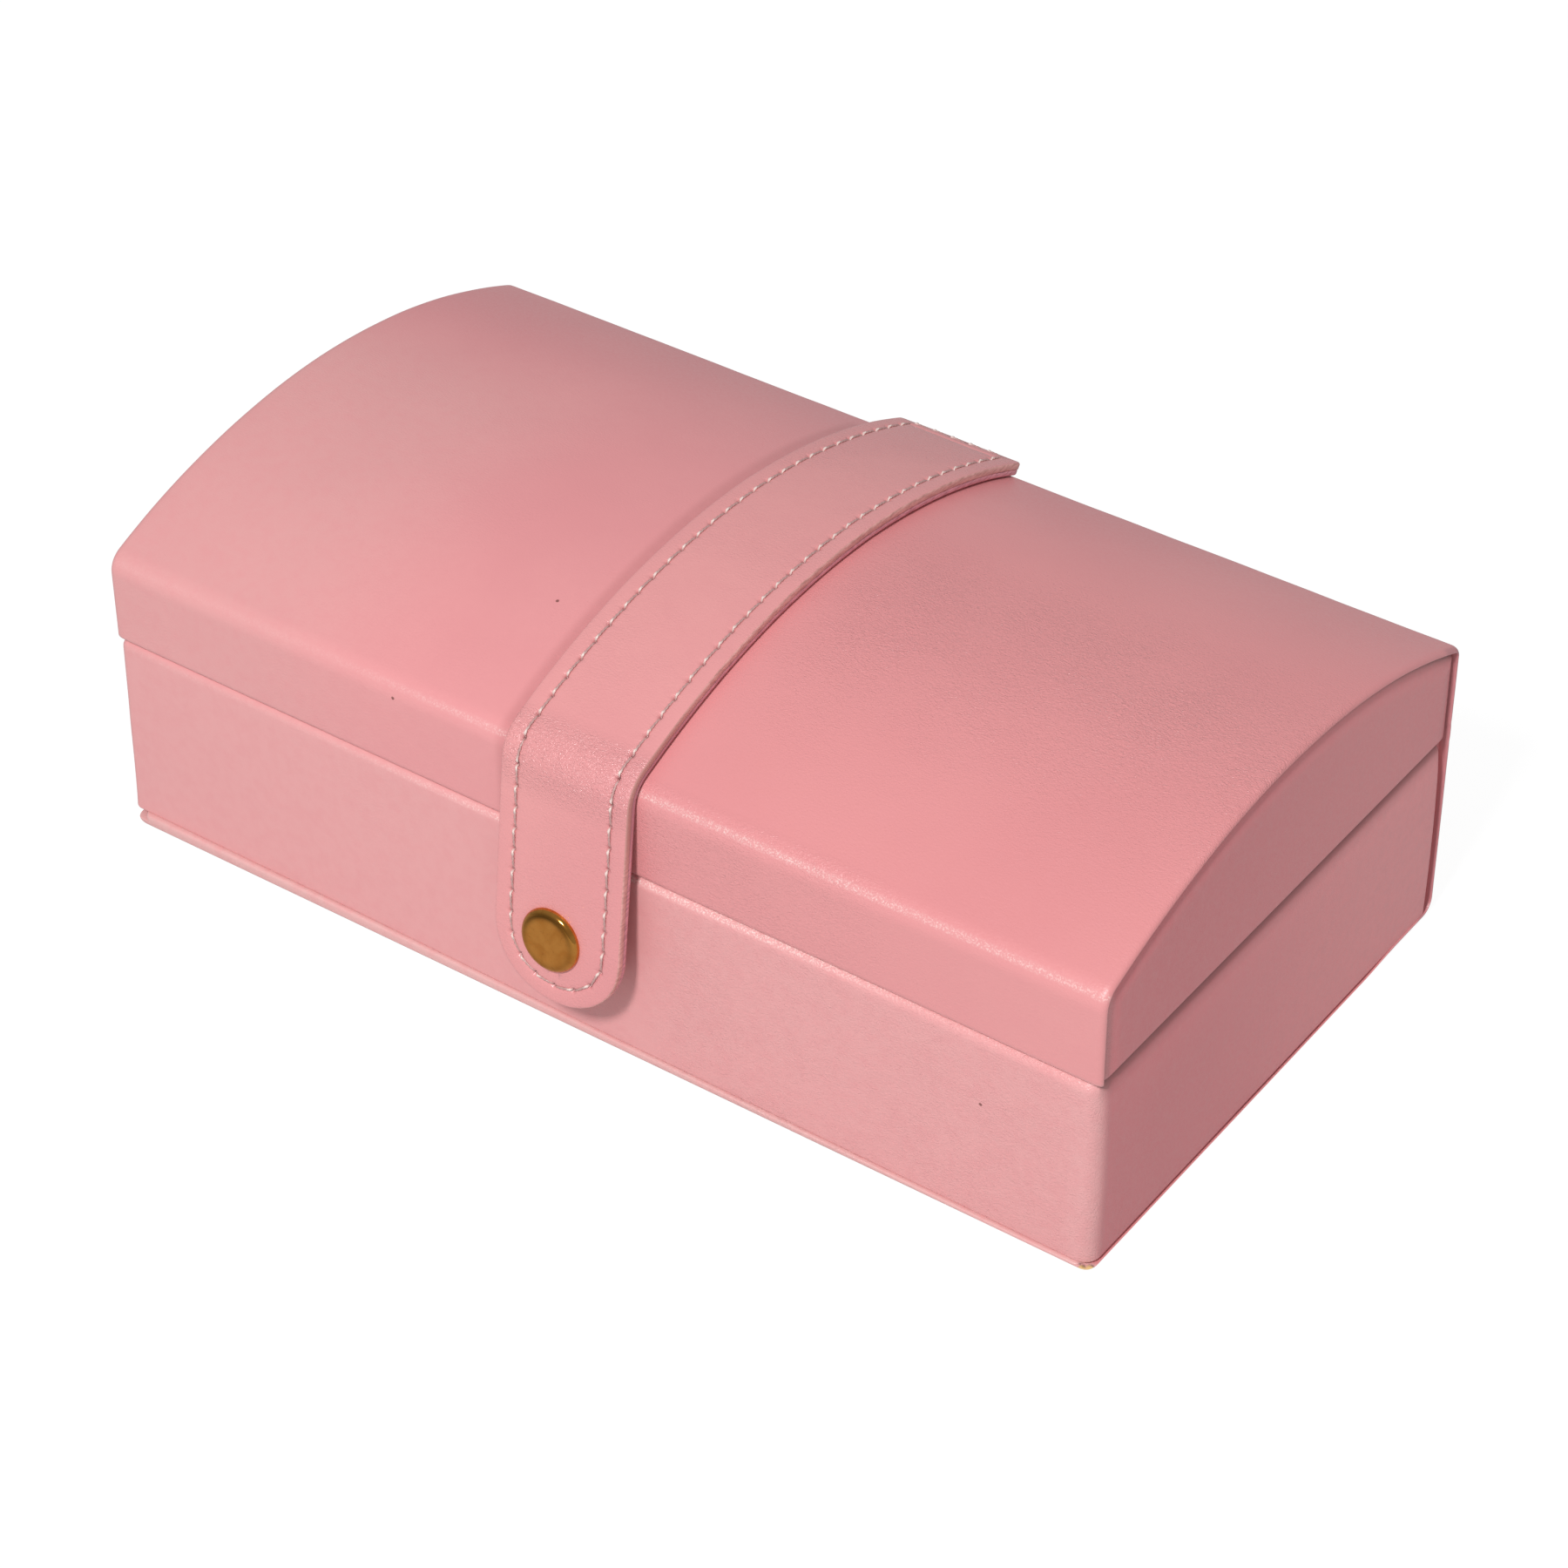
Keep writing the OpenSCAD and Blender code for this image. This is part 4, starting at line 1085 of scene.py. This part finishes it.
def ring_roll(index, low, high):
    """A velvet roll with rounded, puckered ends."""
    length = high[0] - low[0]
    radius = (high[1] - low[1]) / 2
    centre_y, centre_z = (high[1] + low[1]) / 2, high[2] - radius
    soft = 2.2
    rows = []
    for x in np.concatenate([np.linspace(0, soft, 7), np.linspace(soft, length - soft, 22)[1:-1],
                             np.linspace(length - soft, length, 7)]):
        r = radius - end_inset(min(x, length - x), soft) * 0.8
        row = []
        for a in np.radians(np.linspace(0, 360, 40, endpoint=False)):
            puff = 1 + 0.012 * math.sin(5 * a + index) + 0.012 * math.sin(0.35 * x + index * 1.7)
            y = centre_y + r * puff * math.cos(a)
            z = max(centre_z + r * puff * math.sin(a), low[2])
            row.append((low[0] + x, y, min(z, high[2])))
        rows.append(row)
    piece = swept(f"ring_roll_{index + 1}", rows, [rose_velvet], sharp=60)
    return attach(piece, "base")


def ring_rolls():
    """The row of rolls that hold rings between them."""
    low, high = mm_box("ring_rolls")
    pad_low, pad_high = mm_box("ring_pad")
    count = 6
    tray_front, tray_back = pad_low[1] - 0.2, pad_high[1] + 0.2
    pitch = (tray_back - tray_front) / count
    radius = high[1] - (tray_front + (count - 0.5) * pitch)
    for i in range(count):
        centre = tray_front + (i + 0.5) * pitch
        roll = ring_roll(i, (low[0], centre - radius, low[2]), (high[0], centre + radius, high[2]))
        if i == 0:
            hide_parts("ring_rolls")


def padded_block(name, low, high, soft, node, body, fill):
    """A velvet-covered foam block with soft edges."""
    half, centre = (high - low) / 2, (high + low) / 2
    rows = []
    turn = np.radians(np.linspace(0, 90, 6))
    section = [(0.0, -half[2])]
    section += [(soft * (1 - math.cos(a)), half[2] - soft * (1 - math.sin(a))) for a in turn]
    section += [(k, half[2]) for k in np.linspace(soft * 1.5, min(half[0], half[1]) * 0.9, 6)]
    for inset, z in section:
        p, _ = plan_loop(half[0] - inset, inset - half[1], half[1] - inset, max(1.0 - inset, 0.2))
        rows.append(np.column_stack([p, np.full(len(p), z)]) + centre)
    piece = swept(name, rows, [rose_velvet], sharp=70)
    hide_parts(node)
    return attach(piece, body)


def mirror_surround():
    """The padded velvet frame round the mirror."""
    low, high = mm_box("mirror_frame")
    _, glass_high = mm_box("mirror")
    hole = [glass_high[0] - 0.6, glass_high[1] - 0.6]
    outer = [high[0] - 0.3, high[1] - 0.3]
    thick = high[2] - low[2]
    section = [(t, 0.15 + 0.95 * thick * (1 - abs(2 * t - 1) ** 2.6)) for t in np.linspace(0, 1, 13)]
    rows = []
    for t, depth in section + [(1, 0.02), (0, 0.02)]:
        half_x, half_y = (a + (b - a) * t for a, b in zip(outer, hole))
        p, _ = plan_loop(half_x, -half_y, half_y, 1.0 + 5.0 * t)
        rows.append(np.stack([p[:, 0], p[:, 1], np.full(len(p), high[2] - depth)], 1))
    piece = ringed("mirror_surround", rows, [rose_velvet], sharp=70)
    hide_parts("mirror_frame")
    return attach(piece, "lid")


def dress_nodes():
    """Materials and soft edges for the CAD nodes that stay in view."""
    looks = {
        "greyboard": (grey_board, ["lid_ceiling_board"]),
        "velvet": (rose_velvet, ["tray_lining", "cross_divider", "long_divider", "rear_dividers",
                                 "lid_lining"]),
        "brass": (clean_brass, ["press_stud", "stud_post", "snap_socket", "socket_spring"]),
        "mirror": (mirror_glass, ["mirror"]),
    }
    for material, nodes in looks.values():
        for name in nodes:
            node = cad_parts[name]
            node.data.materials.clear()
            node.data.materials.append(material)
    for name in looks["velvet"][1]:
        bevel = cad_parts[name].modifiers.new("soft_edges", "BEVEL")
        bevel.width = 0.35 * MM
        bevel.segments = 2
        bevel.limit_method = "ANGLE"


# ------------------------------------------------------------- floor and light
def camera():
    """The camera at the photograph's angle, distance and framing."""
    azimuth, elevation, roll = (math.radians(a) for a in (35.483, 37.631, -0.128))
    image_width = 1800
    focal_pixels = 5121.2
    distance = 781.9
    shift_right, shift_up = 1.36, 13.96
    back = Vector((math.sin(azimuth) * math.cos(elevation), -math.cos(azimuth) * math.cos(elevation),
                   math.sin(elevation)))
    level = Vector((math.cos(azimuth), math.sin(azimuth), 0))
    rise = back.cross(level)
    right = level * math.cos(roll) + rise * math.sin(roll)
    up = rise * math.cos(roll) - level * math.sin(roll)
    data = bpy.data.cameras.new("camera")
    data.sensor_width = 36
    data.lens = focal_pixels * data.sensor_width / image_width
    data.clip_start = 0.01
    view = bpy.data.objects.new("camera", data)
    turned = Matrix((right, up, back)).transposed().to_4x4()
    turned.translation = (right * shift_right + up * shift_up + back * distance) * MM
    view.matrix_world = turned
    bpy.context.scene.collection.objects.link(view)
    bpy.context.scene.camera = view


def floor():
    """A white table top that keeps a soft shadow."""
    mesh = bpy.data.meshes.new("floor")
    reach = 4.0
    level = -0.00005
    corners = [(x * reach, y * reach, level) for x, y in ((-1, -1), (1, -1), (1, 1), (-1, 1))]
    mesh.from_pydata(corners, [], [(0, 1, 2, 3)])
    plane = bpy.data.objects.new("floor", mesh)
    bpy.context.scene.collection.objects.link(plane)
    material, shader, add = node_material("white_table")
    seen = add("ShaderNodeLightPath").outputs["Is Camera Ray"]
    paper = ramp(add, textured(add, millimetres(add), 0.4, 2.0), 0.3, 0.7, 0.0, 0.02)
    tone = worked(add, "ADD", worked(add, "MULTIPLY_ADD", seen, 0.36, 0.60), paper)
    finished(material, shader, add, tone, 0.9, constants=(("Specular IOR Level", 0.1),))
    glow = add("ShaderNodeEmission", {"Color": (1, 1, 1, 1), "Strength": 1.05})
    share = product(add, seen, 0.9)
    blend = add("ShaderNodeMixShader", {0: share, 1: shader.outputs[0], 2: glow.outputs[0]})
    give(material.node_tree.nodes["Material Output"].inputs["Surface"], blend.outputs[0])
    mesh.materials.append(material)


def key_light():
    """A small softbox in front of the case, slightly to the right and above it."""
    data = bpy.data.lights.new("key", "AREA")
    data.shape = "RECTANGLE"
    data.size = data.size_y = 0.17
    data.energy = 14.5
    data.color = (1.0, 0.99, 0.98)
    light = bpy.data.objects.new("key", data)
    light.location = (0.205, -0.965, 1.05)
    light.rotation_euler = (Vector((0, 0, 0.03)) - light.location).to_track_quat("-Z", "Y").to_euler()
    bpy.context.scene.collection.objects.link(light)


def room():
    """A pale room that fills the shadows, and looks white to the camera."""
    world = bpy.data.worlds.new("room")
    world.use_nodes = True
    tree = world.node_tree
    fill = tree.nodes["Background"]
    fill.inputs[0].default_value = (0.98, 0.99, 1.0, 1)
    fill.inputs[1].default_value = 0.41
    white = tree.nodes.new("ShaderNodeBackground")
    white.inputs[1].default_value = 1.0
    path = tree.nodes.new("ShaderNodeLightPath")
    mix = tree.nodes.new("ShaderNodeMixShader")
    for value, socket in ((path.outputs["Is Camera Ray"], mix.inputs[0]),
                          (fill.outputs[0], mix.inputs[1]), (white.outputs[0], mix.inputs[2]),
                          (mix.outputs[0], tree.nodes["World Output"].inputs["Surface"])):
        give(socket, value)
    bpy.context.scene.world = world


# ------------------------------------------------------------------------ make
camera()
case_cover()
tray()
end_panel(1, ["lid_end_board_right", "lid_end_skin_right"])
end_panel(-1, ["lid_end_board_left", "lid_end_skin_left"])
rail("rail_front", rail_low, rail_high, "lid_rail_front")
rail("rail_back", back_rail_low, back_rail_high, "lid_rail_back")
strap()
snap_cap()
hinge_tape()
ring_rolls()
padded_block("ring_pad_dressed", *mm_box("ring_pad"), 1.0, "ring_pad", "base", 0.9)
mirror_surround()
dress_nodes()
floor()
key_light()
room()
bpy.context.scene.view_settings.view_transform = "Standard"
